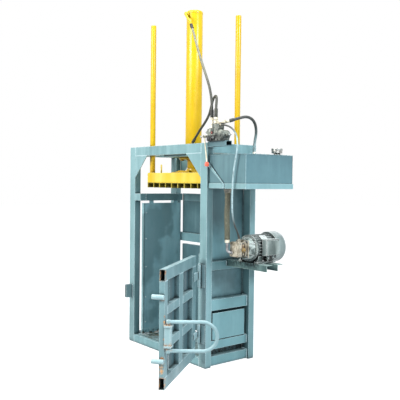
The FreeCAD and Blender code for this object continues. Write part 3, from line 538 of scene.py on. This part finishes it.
# ---- hoses
# hose: (finish, diameter and length in metres, route in millimetres)
HOSES = {
    "hose_a": (upper_hose, 0.020, 0.966, (
        (594, -250, 1995), (594, -250, 2110), (540, -230, 2235), (440, -195, 2365), (330, -166, 2520),
        (225, -139, 2705), (150, -121, 2825))),
    "hose_b": (black_hose, 0.020, 0.781, (
        (642, -250, 1995), (642, -250, 2068), (622, -226, 2138), (568, -188, 2178), (503, -162, 2162),
        (462, -148, 2100), (424, -137, 2038), (362, -128, 1980), (266, -117, 1912), (158, -96, 1826))),
    "hose_c": (tank_hose, 0.022, 0.525, (
        (790, -240, 1956), (836, -192, 1976), (854, -110, 1996), (834, -18, 1966), (790, 48, 1890),
        (742, 70, 1800), (742, 70, 1734))),
    "hose_d": (thin_hose, 0.013, 1.061, (
        (724, -262, 1930), (812, -266, 1920), (896, -268, 1862), (924, -271, 1770), (898, -272, 1660),
        (871, -271, 1530), (867, -271, 1390), (864, -268, 1262), (838, -222, 1164), (800, -146, 1096),
        (785.5, -121.7, 1053.6))),
    "hose_e": (suction_hose, 0.042, 0.363, (
        (735, -200, 1408), (735, -200, 1330), (729, -202, 1225), (735, -200, 1120), (735, -200, 1045))),
}


def make_hose(name, finish, diameter, length, route):
    data = bpy.data.curves.new(name + "_cover", "CURVE")
    data.dimensions = "3D"
    data.bevel_depth = diameter / 2
    data.bevel_resolution = 6
    data.use_fill_caps = True
    data.resolution_u = 14
    spline = data.splines.new("NURBS")
    spline.points.add(len(route) - 1)
    for point, place in zip(spline.points, route):
        point.co = (*(Vector(place) * MM), 1.0)
    spline.order_u = 3
    spline.use_endpoint_u = True
    hose = bpy.data.objects.new(name + "_cover", data)
    bpy.context.scene.collection.objects.link(hose)
    data.materials.append(finish)
    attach(hose, "frame")
    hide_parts(name)
    return hose


hoses = {name: make_hose(name, *facts) for name, facts in HOSES.items()}


# ---- detail meshes
def across(axis):
    """two directions square to an axis and to each other, and the axis itself"""
    w = Vector(axis).normalized()
    side = X if abs(w.x) < 0.9 else Y
    u = w.cross(side).normalized()
    return u, w.cross(u).normalized(), w


def circle(at, axis, radius, sides, first=0.0, lobes=0.0):
    """ring of points; first shifts its corners, and lobes draws every second one in, for a knurl"""
    u, v, w = across(axis)
    ring = []
    for k in range(sides):
        angle = 2 * math.pi * (k + first) / sides
        ring.append(at + (u * math.cos(angle) + v * math.sin(angle)) * radius * (1.0 - lobes * (k % 2)))
    return ring


class Shape:
    """A detail mesh built in millimetres, in the model's own frame."""

    def __init__(self):
        self.mesh = bmesh.new()

    def skin(self, rings, closed=False):
        """faces between rings of points; closed joins last ring to first, else both ends are capped"""
        rows = [[self.mesh.verts.new(Vector(point) * MM) for point in ring] for ring in rings]
        pairs = list(zip(rows, rows[1:])) + ([(rows[-1], rows[0])] if closed else [])
        for low, high in pairs:
            count = len(low)
            for k in range(count):
                self.mesh.faces.new((low[k], low[(k + 1) % count], high[(k + 1) % count], high[k]))
        if not closed:
            self.mesh.faces.new(list(reversed(rows[0])))
            self.mesh.faces.new(rows[-1])

    def turned(self, start, axis, profile, sides=20, lobes=0.0):
        """turned piece along an axis from a profile of (distance, radius); 6 sides make a hexagon"""
        rings = []
        for along, radius in profile:
            rings.append(circle(Vector(start) + axis * along, axis, radius, sides, 0.5, lobes))
        self.skin(rings)

    def bolt(self, at, axis, size=8.0, washer=True, stud=0.0):
        """hexagon head with a chamfered top, on a washer, with a stud end where asked"""
        base = 0.2 * size if washer else 0.0
        if washer:
            self.turned(at, axis, [(0, size * 1.05), (base * 0.8, size * 1.05), (base, size * 0.98)])
        flat, top = base + size * 0.5, base + size * 0.65
        self.turned(at, axis, [(base, size * 0.94), (flat, size * 0.94), (top, size * 0.8)], 6)
        if stud:
            end = base + stud
            self.turned(at, axis, [(base, size * 0.5), (end, size * 0.5), (end + 1, size * 0.38)], 14)

    def screw(self, at, axis, radius=4.0):
        """round head with a raised middle"""
        self.turned(at, axis, [(0, radius), (radius * 0.35, radius * 0.95), (radius * 0.6, radius * 0.7),
                               (radius * 0.7, radius * 0.3)], 14)

    def slab(self, low, high, soft=1.5, turn=None):
        """block with chamfered edges, from its low to its high corner, each point moved by turn"""
        (x0, y0, z0), (x1, y1, z1) = low, high
        s = soft
        rings = []
        for z, inset in ((z0, s), (z0 + s, 0.0), (z1 - s, 0.0), (z1, s)):
            a, b, c, d = x0 + inset, x1 - inset, y0 + inset, y1 - inset
            ring = [(a + s, c), (b - s, c), (b, c + s), (b, d - s)]
            ring += [(b - s, d), (a + s, d), (a, d - s), (a, c + s)]
            rings.append([Vector((x, y, z)) for x, y in ring])
        if turn:
            rings = [[turn(point) for point in ring] for ring in rings]
        self.skin(rings)

    def weld(self, start, end, one, two, leg=5.0, pitch=4.0):
        """rippled bead in the corner between faces that run off in directions one and two"""
        start, end, one, two = Vector(start), Vector(end), Vector(one), Vector(two)
        run = end - start
        count = max(2, int(run.length / pitch))
        if (one + two).length > 0.5:
            out = (one + two) * 0.62
        else:
            out = one.cross(run).normalized() * -0.35
        rings = []
        for k in range(2 * count + 1):
            wave = leg * ((0.86, 1.06)[k % 2] + 0.05 * math.sin(k * 1.7 + start.x))
            at = start + run * (k / (2 * count))
            under = at - out * leg * 0.25
            rings.append([under, at + one * wave, at + out * wave, at + two * wave])
        self.skin(rings)

    def flat_weld(self, start, end, face, leg=5.0, pitch=4.0, rise=1.6):
        """low rippled bead over a butt joint in a flat face, whose outward direction is given"""
        start, end, face = Vector(start), Vector(end), Vector(face).normalized()
        run = end - start
        side = face.cross(run).normalized()
        count = max(2, int(run.length / pitch))
        rings = []
        for k in range(2 * count + 1):
            wave = (0.84, 1.05)[k % 2] + 0.06 * math.sin(k * 2.3 + start.z)
            at = start + run * (k / (2 * count))
            foot = side * leg * wave
            crown = face * rise * wave
            rings.append([at - face, at + foot, at + foot * 0.5 + crown, at - foot * 0.5 + crown, at - foot])
        self.skin(rings)

    def ring_weld(self, centre, axis, radius, leg=5.0, pitch=4.0):
        """bead round a bar or tube where it stands on a face"""
        u, v, w = across(axis)
        count = int(2 * math.pi * radius / pitch)
        rings = []
        for k in range(2 * count):
            angle = math.pi * k / count
            out = u * math.cos(angle) + v * math.sin(angle)
            wave = leg * ((0.86, 1.06)[k % 2] + 0.05 * math.sin(k * 1.3))
            at = Vector(centre) + out * radius
            rings.append([at - out - w, at + w * wave, at + (out + w) * wave * 0.62, at + out * wave])
        self.skin(rings, closed=True)

    def along(self, points, profile, sides=24):
        """sleeve that follows a line of points, from a profile of (distance along it, radius)"""
        places = [(*walk(points, distance), radius) for distance, radius in profile]
        self.skin([circle(at, way, radius, sides) for at, way, radius in places])

    def finish(self, name, material, slot, body="frame", soft=0.0):
        bmesh.ops.recalc_face_normals(self.mesh, faces=self.mesh.faces)
        data = bpy.data.meshes.new(name)
        self.mesh.to_mesh(data)
        self.mesh.free()
        data.materials.append(material)
        data.shade_smooth()
        data.set_sharp_from_angle(angle=math.radians(40))
        piece = bpy.data.objects.new(name, data)
        bpy.context.scene.collection.objects.link(piece)
        if soft:
            round_edges(piece, soft)
        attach(piece, body)


def walk(points, distance):
    """place and direction at a distance along a line of points"""
    for a, b in zip(points, points[1:]):
        step = (b - a).length
        if distance <= step or b is points[-1]:
            return a + (b - a) * (distance / step), (b - a).normalized()
        distance -= step


def spline_points(hose):
    """points of a hose's own spline, in millimetres"""
    bare = hose.data.copy()
    bare.bevel_depth = 0.0
    probe = bpy.data.objects.new("probe", bare)
    data = bpy.data.meshes.new_from_object(probe)
    points = [vertex.co / MM for vertex in data.vertices]
    bpy.data.meshes.remove(data)
    bpy.data.objects.remove(probe)
    bpy.data.curves.remove(bare)
    return points


# ---- hose ends
SLEEVES = {
    # hose: (sleeve length and radius at its start, at its end, sleeve finish)
    "hose_a": ((62, 14.5), (48, 14.0), dark_sleeve_and_shade),
    "hose_b": ((66, 14.5), (48, 13.0), black_hose),
    "hose_c": ((34, 14.0), (30, 13.5), tank_hose),
    "hose_d": ((30, 9.5), (30, 9.5), thin_hose),
    "hose_e": ((20, 23.0), (12, 22.4), suction_hose),
}
SLEEVE_BITE = 0.6


def crimp(length, radius, bore):
    """profile of a crimped sleeve: a rolled lip, pressed grooves and a tapered tail"""
    lip, tail, pitch = 5, 7, 8
    pressed = radius * 0.93
    profile = [(0.5, bore), (0.6, radius), (4, radius), (lip, pressed)]
    grooves = max(2, int((length - lip - tail) / pitch))
    for k in range(grooves):
        at = lip + (length - lip - tail) * k / grooves
        profile += [(at + 1.5, radius), (at + 5, radius), (at + 6, pressed)]
    return profile + [(length - 4, radius), (length - 1, radius * 0.97), (length, bore)]


def hose_sleeves():
    for name, (first, last, finish) in SLEEVES.items():
        line = spline_points(hoses[name])
        bore = HOSES[name][1] / MM / 2 - SLEEVE_BITE
        for end, path, (length, radius) in (("start", line, first), ("end", line[::-1], last)):
            sleeve = Shape()
            sleeve.along(path, crimp(length, radius, bore))
            sleeve.finish("%s_sleeve_%s" % (name, end), finish, "fitting_metal")


def turned_piece(name, material, slot, *parts, body="frame"):
    """piece made of turned parts, each given as Shape.turned takes it"""
    shape = Shape()
    for part in parts:
        shape.turned(*part)
    shape.finish(name, material, slot, body)


# ---- welds on the frame
POST_IN, POST_OUT = 479.5, 561.5
FRAME_Y = 265.0
POST_BACK_Y = 205.0


def post_welds(seams):
    """top and bottom rings and gussets on the four posts"""
    for side in (-1, 1):
        x = side * POST_IN
        for y, face in ((-FRAME_Y, -Y), (FRAME_Y, Y)):
            seams.flat_weld((x, y, 1722), (x, y, 1798), face)
            seams.flat_weld((x, y, 4), (x, y, 68), face)
            seams.flat_weld((x, y, 1720), (x - side * 190, y, 1720), face, 4.0)
        for y, back in ((-257, Y), (257, -Y)):
            seams.weld((x, y, 1532), (x, y, 1716), -side * X, back)
            seams.weld((x - side * 184, y, 1720), (x - side * 4, y, 1720), -Z, back)


def side_beam_welds(seams):
    """three beams on the right and the bottom beam on each side: inner x, outer x, lower z, upper z"""
    beams = ((475, 536, 778, 846), (475, 536, 450, 538), (475, 536, 136, 204),
             (481, 541, 5, 80), (-481, -541, 5, 80))
    for x0, x1, z0, z1 in beams:
        outward = X if x1 > 0 else -X
        for y, inward in ((-POST_BACK_Y, Y), (POST_BACK_Y, -Y)):
            seams.weld((x1, y, z0), (x1, y, z1), outward, inward)
            seams.weld((x0, y, z1), (x1, y, z1), Z, inward)


def top_beam_welds(seams):
    """side beams of the top ring, and the two press beams between the long ones"""
    top, bottom = 1800, 1722
    for y, inward in ((-POST_BACK_Y, Y), (POST_BACK_Y, -Y)):
        for x in (501.5, -501.5):
            seams.weld((x, y, top), (x + math.copysign(60, x), y, top), Z * 0.3, inward, 4.0)
        for x, outward in ((-92, -X), (-32, X), (126, -X), (186, X)):
            seams.weld((x, y, bottom), (x, y, top - 2), outward, inward)


def bracket_welds(seams):
    """left rail, keeper, motor arms and tank shelf"""
    seams.weld((-389.5, -POST_BACK_Y, 1314), (-389.5, -POST_BACK_Y, 1374), X, Y)
    for x, outward in ((-530, -X), (-505, X)):
        seams.weld((x, -FRAME_Y, 417), (x, -FRAME_Y, 533), outward, -Y, 4.0)
    for y in (-30, 87):
        seams.weld((536, y, 808), (536, y, 845), X, -Y, 4.5)
    for y, outward in ((-257, -Y), (268, Y)):
        seams.weld((POST_OUT, y, 1614), (POST_OUT, y, 1646), X, outward, 4.0)
    seams.weld((POST_OUT, -FRAME_Y, 1768), (POST_OUT, -POST_BACK_Y, 1768), X, -Z, 4.0)
    seams.weld((POST_OUT, -POST_BACK_Y, 1770), (POST_OUT, -POST_BACK_Y, 1806), X, Y, 4.0)


def frame_welds():
    seams = Shape()
    post_welds(seams)
    side_beam_welds(seams)
    top_beam_welds(seams)
    bracket_welds(seams)
    seams.finish("frame_welds", weld_paint, "frame_paint")


# ---- tank
TANK_LID = 1704


def tank_screws():
    """folded corners of the tank, and the screws round its lid"""
    shape = Shape()
    for x, y in ((566, -245), (984, -245), (984, 256), (566, 256)):
        foot = 1482 if x > 600 else 1452
        shape.flat_weld((x, y, foot), (x, y, 1697), (x - 775, y, 0), 2.6, rise=1.0)
    for k in range(9):
        for y in (-236, 247):
            shape.screw((590 + 46 * k, y, TANK_LID), Z)
    for k in range(1, 10):
        for x in (576, 974):
            shape.screw((x, -236 + 48.3 * k, TANK_LID), Z)
    shape.finish("tank_screws", tank_paint, "frame_paint")


def breather_knurl():
    profile = [(0, 41.5), (0.5, 43.4), (13, 43.4), (14, 41.5)]
    turned_piece("breather_knurl", bolt_steel, "bare_steel", ((925, 140, 1740), Z, profile, 60, 0.03))


# ---- door
DOOR_OUT, DOOR_IN = 14, 54


def lattice_welds(seams):
    """uprights to rails on both faces, and bars to uprights on the outer face"""
    for t, face in ((DOOR_OUT, DOOR_OUTWARD), (DOOR_IN, -DOOR_OUTWARD)):
        for z in (177, 827):
            for s0, s1 in ((58, 152), (427, 518), (804, 865)):
                seams.flat_weld(on_door_mm(s0, t, z), on_door_mm(s1, t, z), face, 4.0)
    for z0, z1 in ((359, 415), (597, 653)):
        for s in (155, 425, 520, 802):
            seams.flat_weld(on_door_mm(s, DOOR_OUT, z0), on_door_mm(s, DOOR_OUT, z1), DOOR_OUTWARD, 4.0)


def fitting_welds(seams):
    """latch bearing, hinge leaves and pegs: ends along the door, height, side, size"""
    for s0, s1, z, away, leg in ((834, 865, 387, -Z, 5.0), (834, 865, 538, Z, 5.0), (58, 123, 710, -Z, 4.0),
                                 (58, 123, 770.4, Z, 4.0), (58, 123, 246.3, -Z, 4.0), (58, 123, 295, Z, 4.0)):
        seams.weld(on_door_mm(s0, DOOR_OUT, z), on_door_mm(s1, DOOR_OUT, z), away, DOOR_OUTWARD, leg)
    for z, away in ((298, Z), (288, -Z), (729, Z), (719, -Z)):
        seams.weld(on_door_mm(867, 18, z), on_door_mm(867, 48, z), DOOR_FREE_WAY, away, 4.0)


def door_welds():
    seams = Shape()
    lattice_welds(seams)
    fitting_welds(seams)
    seams.finish("door_welds", weld_paint, "frame_paint", "door")


def latch_rims():
    """wider edges on the handle bearing's two plates, along the outer side and the free end"""
    thick = 13
    rims = Shape()
    for z in (388, 524):
        for low, high in (((833, -37), (893, -31)), ((884, -31.5), (893, 12))):
            rims.slab((*low, z), (*high, z + thick), 1.2, lambda p: on_door_mm(p.x, p.y, p.z))
    rims.finish("latch_rims", tube_paint, "frame_paint", "door")


# ---- press
PRESS_X, PRESS_Y = 47, -1


def press_welds():
    """cylinder foot, guide rods, saddle webs and the platen's seam"""
    rod_x, rod_y, platen_top = 378, 173, 1566
    seams = Shape()
    seams.ring_weld((PRESS_X, PRESS_Y, 1586), Z, 58, 6.0)
    for side in (-1, 1):
        seams.ring_weld((PRESS_X + side * rod_x, PRESS_Y + side * rod_y, platen_top), Z, 24)
        for dy, out in ((-84, -Y), (-72, Y), (72, -Y), (84, Y)):
            start = (PRESS_X + side * 80, PRESS_Y + dy, platen_top)
            end = (PRESS_X + side * 240, PRESS_Y + dy, platen_top)
            seams.weld(start, end, out, Z * 0.5)
    for y in (-204, 202):
        seams.flat_weld((-364, y, 1483), (458, y, 1483), (0, y, 0), 3.5)
    seams.finish("press_welds", press_paint, "press_paint", "press")


def cylinder_welds():
    """weld at the barrel's foot and the raised band at its top"""
    seams = Shape()
    seams.ring_weld((PRESS_X, PRESS_Y, 1703), Z, 71, 7.0)
    seams.turned((PRESS_X, PRESS_Y, 2952), Z, [(0, 70.8), (0.5, 72.4), (7, 72.4), (7.5, 70.8)], 64)
    seams.finish("cylinder_welds", press_paint, "press_paint")


# ---- motor
MOTOR_X, MOTOR_Z = 780.0, 970.0


def at_motor(x, y, z):
    """place given from the motor's axis"""
    return (MOTOR_X + x, y, MOTOR_Z + z)


def around_motor(angle, radius, y):
    return at_motor(radius * math.cos(angle), y, radius * math.sin(angle))


def power_bolts():
    """bolts of the motor's feet, bell and flange, and screws of its cowl and terminal box"""
    shape = Shape()
    for x in (684, 876):
        for y in (-8, 102):
            shape.bolt((x, y, 870), Z, 9.0, stud=14)
            shape.bolt((x, y, 852), -Z, 9.0, stud=10)
    for k in range(4):
        angle = math.radians(45 + 90 * k)
        outward = Vector((math.cos(angle), 0, math.sin(angle)))
        shape.bolt(around_motor(angle, 97, -20), -Y, 6.5)
        shape.bolt(around_motor(angle, math.hypot(58, 58), -84), -Y, stud=9)
        shape.screw(around_motor(angle, 123, 206), outward, 5.0)
    for y in (40, 160):
        for z in (928.5, 1036.5):
            shape.screw((938.2, y, z), X, 4.4)
    shape.finish("power_bolts", bolt_steel, "bare_steel", soft=0.0004)


def terminal_cover():
    """lid and top lip of the terminal box, and its two cable glands"""
    cover = Shape()
    cover.slab((930, 33, 922), (938.5, 167, 1043), 3.0)
    cover.slab((886, 31, 1045), (936, 169, 1048), 1.2)
    for y in (72, 128):
        cover.turned((910, y, 901), -Z, [(0, 12), (2, 13), (10, 13), (12, 11), (16, 9)], 8)
    cover.finish("terminal_cover", motor_paint, "motor_paint")


def bell_ribs():
    """bands of the end bell and six ribs that run down to the pump's flange"""
    band = [(0, 92), (1, 104), (4, 107.4), (10, 107.4), (13.2, 104), (13.4, 92)]
    ribs = Shape()
    ribs.turned(at_motor(0, -21.5, 0), Y, band, 72)
    ribs.turned(at_motor(0, -24, 0), Y, [(0, 88), (0.5, 97), (3.5, 97)], 60)
    for k in range(6):
        angle = math.radians(30 + 60 * k)
        out = Vector((math.cos(angle), 0, math.sin(angle)))
        foot, crest = out.cross(Y) * 3, out.cross(Y) * 2.4
        rings = []
        for y, inner, outer in ((-68, 72, 78), (-24, 84, 96)):
            low, high = Vector(at_motor(0, y, 0)) + out * inner, Vector(at_motor(0, y, 0)) + out * outer
            rings.append([low - foot, high - crest, high + crest, low + foot])
        ribs.skin(rings)
    ribs.finish("bell_ribs", motor_paint, "motor_paint")


def blank_plate():
    """empty rating plate on the motor's shoulder"""
    turn = Matrix.Rotation(math.radians(37), 3, "Y")
    plate = Shape()
    plate.slab((-26, 52, 105.5), (26, 118, 109), 1.0, lambda p: Vector(at_motor(0, 0, 0)) + turn @ p)
    plate.finish("blank_plate", blank_tag, "fitting_metal")


# ---- pump
def pump_bosses():
    """joint lines between the pump's sections, and the bosses on its side and end"""
    pump = Shape()
    for y in (-100, -132):
        pump.slab(at_motor(-47, y - 1.4, -55), at_motor(47, y + 1.4, 55), 1.0)
    for z in (-36, 32):
        pump.turned(at_motor(44, -116, z), X, [(0, 9), (4, 9), (6, 7.6)], 18)
    pump.turned(at_motor(48, -149, 18), X, [(0, 12), (4, 12), (5, 10.5)], 24)
    pump.turned(at_motor(48, -149, -28), X, [(0, 9), (4, 9), (5, 7.5)], 24)
    pump.turned(at_motor(-30, -165, -25), -Y, [(0, 21), (5, 21), (7, 19)], 28)
    pump.turned(at_motor(0, -165, 6), -Y, [(0, 26), (3, 26), (5, 22), (5.5, 10)], 32)
    pump.finish("pump_bosses", pump_metal, "pump_metal")


def pump_bolts():
    shape = Shape()
    for x, y in ((50, -149), (46, -116)):
        for z in (-46, 46):
            shape.bolt(at_motor(x, y, z), X, 5.4)
    for x in (-40, 40):
        shape.bolt(at_motor(x, -92, 60), Z, 6.0)
    shape.finish("pump_bolts", bolt_steel, "bare_steel")


def brass_plug():
    turned_piece("brass_plug", brass, "fitting_metal",
                 (at_motor(53, -116, -4), X, [(0, 19), (3, 19), (4, 15), (6, 14.6)], 28),
                 (at_motor(58, -116, -4), X, [(0, 14.5), (7, 14.5), (8.5, 12.5)], 6))


# ---- valve
VALVE_Y = -250.0
VALVE_FRONT = VALVE_Y - 34


def valve_ribs():
    """cast ribs, a cross rib, the round end cap and three covers of the valve block"""
    valve = Shape()
    for x in (596, 624, 652, 680):
        valve.slab((x - 3, VALVE_Y - 37, 1812), (x + 3, VALVE_Y + 37, 1901), 1.2)
    valve.slab((586, VALVE_Y - 37, 1850), (698, VALVE_Y - 30, 1862))
    cap = [(0, 40), (3, 38), (3.5, 30), (6, 29), (6.5, 16), (12, 15)]
    valve.turned((734, VALVE_FRONT, 1850), -Y, cap, 40)
    valve.turned((655, VALVE_FRONT, 1832), -Y, [(0, 15), (6, 14), (8, 11)], 24)
    valve.turned((612, VALVE_FRONT, 1884), -Y, [(0, 12), (5, 12), (7, 9)], 24)
    valve.turned((582, VALVE_Y + 4, 1846), -X, [(0, 24), (6, 24), (8, 21)], 28)
    valve.finish("valve_ribs", valve_metal, "valve_metal")


def valve_nuts():
    """bolts of the block, cap and shelf, the adjuster, and the ports' collars"""
    shape = Shape()
    for x, z in ((590, 1820), (692, 1820), (590, 1896), (692, 1896)):
        shape.bolt((x, VALVE_Y - 36, z), -Y, 5.5)
    for x, z in ((718, 1872), (752, 1872), (718, 1828), (752, 1828)):
        shape.bolt((x, VALVE_FRONT, z), -Y, 4.4)
    shape.bolt((655, VALVE_Y - 42, 1832), -Y, washer=False, stud=9)
    shape.turned((796, VALVE_Y, 1850), X, [(0, 12), (3, 12), (4, 9), (14, 9), (15, 7)], 6)
    shape.turned((796, VALVE_Y, 1850), X, [(13, 4.5), (26, 4.5), (27, 3.4)], 16)
    for x, z in ((594, 1905), (642, 1938)):
        shape.turned((x, VALVE_Y, z), Z, [(-2, 19), (0, 20.5), (5, 20.5), (6, 18)], 30)
    for x in (574, 760):
        shape.bolt((x, VALVE_Y + 14, 1808), Z, 6.5, stud=8)
    shape.finish("valve_nuts", bolt_steel, "bare_steel")


def union_nuts():
    """two hexagon nuts on each of the valve's upright ports"""
    nuts = Shape()
    for x, foot in ((594, 1931), (642, 1964)):
        nuts.turned((x, VALVE_Y, foot), Z, [(0, 12.4), (0.5, 17.5), (9, 17.5), (10, 16), (11, 12.4)], 6)
        nuts.turned((x, VALVE_Y, 1977), Z, [(0, 12.4), (0.5, 17), (14, 17), (16, 15.5), (17, 12.4)], 6)
    nuts.finish("union_nuts", plated, "fitting_metal")


def valve_shade_block():
    """near black block of painted shade at the valve's lower left, with an end nut, and a dark clip on the
    block
    """
    coil = Shape()
    # painted shade: a near black block where the valve's lower left lies in shade
    coil.slab((586, VALVE_Y - 47, 1811), (642, VALVE_Y - 33, 1844), 2.0)
    coil.turned((614, VALVE_Y - 46, 1827), -Y, [(0, 12), (5, 12), (7, 9)], 24)
    coil.slab((702, VALVE_Y - 32, 1829), (712, VALVE_Y + 28, 1836), 1.0)
    coil.finish("valve_shade_block", dark_sleeve_and_shade, "valve_metal")


def spindle_and_lever():
    """valve spindle, lever pivot, red relief cap, and the grip over the lever's end"""
    turned_piece("valve_spindle", bolt_steel, "bare_steel",
                 ((552, VALVE_Y - 51, 1846), -Y, [(0, 8), (3, 8), (4, 5)], 6),
                 ((560, VALVE_Y - 12, 1880), -X, [(0, 12), (7, 12), (8, 8), (20, 8), (21, 5)], 18))
    turned_piece("lever_boss", bolt_steel, "bare_steel",
                 ((514, -289, 1846), -X, [(0, 5), (1, 9), (7, 9), (8, 6)], 16),
                 ((552, -298, 1846), -Y, [(0, 8), (1, 10), (2, 10), (3, 8)], 16), body="lever")
    turned_piece("relief_cap", red_plug, "valve_metal",
                 ((640, VALVE_Y - 35, 1872), -Y, [(0, 10), (6, 10), (8, 8), (8.6, 3)], 24))
    grip = [(0, 8), (1.5, 14), (6, 16), (14, 16.4), (26, 16), (32, 13), (36, 7)]
    turned_piece("lever_grip", red_grip, "lever_paint", ((586, -290, 1610.5), Z, grip, 28), body="lever")


# ---- walls
WALL_TOP, FLOOR_TOP = 1439.5, 86


def rail_end_plate():
    plate = Shape()
    plate.slab((-479.5, -265, 1312), (-389.5, -261.8, 1376), 1.0)
    plate.finish("rail_end_plate", frame_paint, "frame_paint")


def wall_foot():
    """strip and front lip that take the left wall down to the floor"""
    top = 128
    foot = Shape()
    foot.slab((-413.5, -215.5, FLOOR_TOP), (-409.5, 211.5, top), 0.6)
    foot.slab((-434.5, -215.5, FLOOR_TOP), (-409.5, -211.5, top), 0.6)
    foot.finish("wall_foot", left_paint, "frame_paint")


def wall_edge_strip():
    """filler between the right wall's rear edge and the rear post"""
    strip = Shape()
    strip.slab((474.5, 199, FLOOR_TOP), (480, 204.5, WALL_TOP), 0.5)
    strip.finish("wall_edge_strip", right_paint, "frame_paint")


def wall_bolts():
    bolts = Shape()
    for z in (190, 420, 700, 960, 1200):
        bolts.bolt((-405, -186, z), X, 5.5)
    bolts.finish("wall_bolts", weld_paint, "frame_paint")


# ---- all the details
hose_sleeves()
frame_welds()
tank_screws()
breather_knurl()
door_welds()
latch_rims()
press_welds()
cylinder_welds()
power_bolts()
terminal_cover()
bell_ribs()
blank_plate()
pump_bosses()
pump_bolts()
brass_plug()
valve_ribs()
valve_nuts()
union_nuts()
valve_shade_block()
spindle_and_lever()
rail_end_plate()
wall_foot()
wall_edge_strip()
wall_bolts()

# ---- stage
FLOOR_SIZE = 60.0
FLOOR_HEIGHT = -0.001
FLOOR_TONE = (0.40, 0.41, 0.42, 1.0)
FLOOR_GLOW = 0.82
BACK_WHITE = (1.0, 1.0, 1.0, 1.0)
AMBIENT_TONE = (0.86, 0.93, 1.0, 1.0)
AMBIENT_STRENGTH = 0.34


def camera_sees(nodes):
    """1 for camera, glossy and transmission rays, else 0"""
    rays = nodes.node("ShaderNodeLightPath").outputs
    mirrored = nodes.math("MAXIMUM", rays["Is Camera Ray"], rays["Is Glossy Ray"])
    return nodes.math("MAXIMUM", mirrored, rays["Is Transmission Ray"])


def make_world():
    """soft ambient light on the object, plain white behind it"""
    world = bpy.data.worlds.new("studio")
    bpy.context.scene.world = world
    nodes = Nodes(world)
    ambient = nodes.tree.nodes["Background"]
    ambient.inputs["Color"].default_value = AMBIENT_TONE
    ambient.inputs["Strength"].default_value = AMBIENT_STRENGTH
    white = nodes.node("ShaderNodeBackground", {"Color": BACK_WHITE, "Strength": 1.0})
    shown = {0: camera_sees(nodes), 1: ambient.outputs[0], 2: white.outputs[0]}
    pick = nodes.node("ShaderNodeMixShader", shown)
    nodes.feed(nodes.tree.nodes["World Output"].inputs["Surface"], pick.outputs[0])


def floor_material():
    """matt pale floor that keeps the shadow and adds a white glow where it is seen"""
    material = bpy.data.materials.new("pale_floor")
    nodes = Nodes(material)
    matt = nodes.tree.nodes["Principled BSDF"]
    matt.inputs["Base Color"].default_value = FLOOR_TONE
    matt.inputs["Roughness"].default_value = 0.9
    strength = nodes.math("MULTIPLY", camera_sees(nodes), FLOOR_GLOW)
    glow = nodes.node("ShaderNodeEmission", {"Color": BACK_WHITE, "Strength": strength})
    both = nodes.node("ShaderNodeAddShader", {0: matt.outputs[0], 1: glow.outputs[0]})
    nodes.feed(nodes.tree.nodes["Material Output"].inputs["Surface"], both.outputs[0])
    return material


def make_floor():
    mesh = bpy.data.meshes.new("studio_floor")
    half = FLOOR_SIZE / 2
    corners = [(x, y, FLOOR_HEIGHT) for x, y in ((-half, -half), (half, -half), (half, half), (-half, half))]
    mesh.from_pydata(corners, [], [(0, 1, 2, 3)])
    mesh.materials.append(floor_material())
    floor = bpy.data.objects.new("studio_floor", mesh)
    bpy.context.scene.collection.objects.link(floor)


def make_lamp(name, place, target, size, power, colour=(1.0, 1.0, 1.0)):
    data = bpy.data.lights.new(name, "AREA")
    data.shape = "SQUARE"
    data.size = size
    data.energy = power
    data.color = colour
    lamp = bpy.data.objects.new(name, data)
    lamp.location = place
    lamp.rotation_mode = "QUATERNION"
    lamp.rotation_quaternion = (Vector(target) - Vector(place)).to_track_quat("-Z", "Y")
    bpy.context.scene.collection.objects.link(lamp)


WARM, COOL = (1.0, 0.965, 0.915), (0.93, 0.98, 1.0)

make_world()
make_floor()
make_lamp("key", (-0.6, -6.6, 4.2), (0.1, 0.0, 1.3), 3.0, 620.0, WARM)
make_lamp("side_fill", (5.4, 0.4, 4.4), (0.6, 0.0, 0.9), 1.5, 330.0, COOL)
make_lamp("top", (0.5, -0.6, 6.8), (0.2, 0.0, 1.0), 3.0, 260.0)
make_lamp("low_fill", (6.0, -2.2, 1.0), (0.6, 0.0, 0.7), 2.5, 78.0, COOL)
bpy.context.scene.view_settings.view_transform = "Standard"
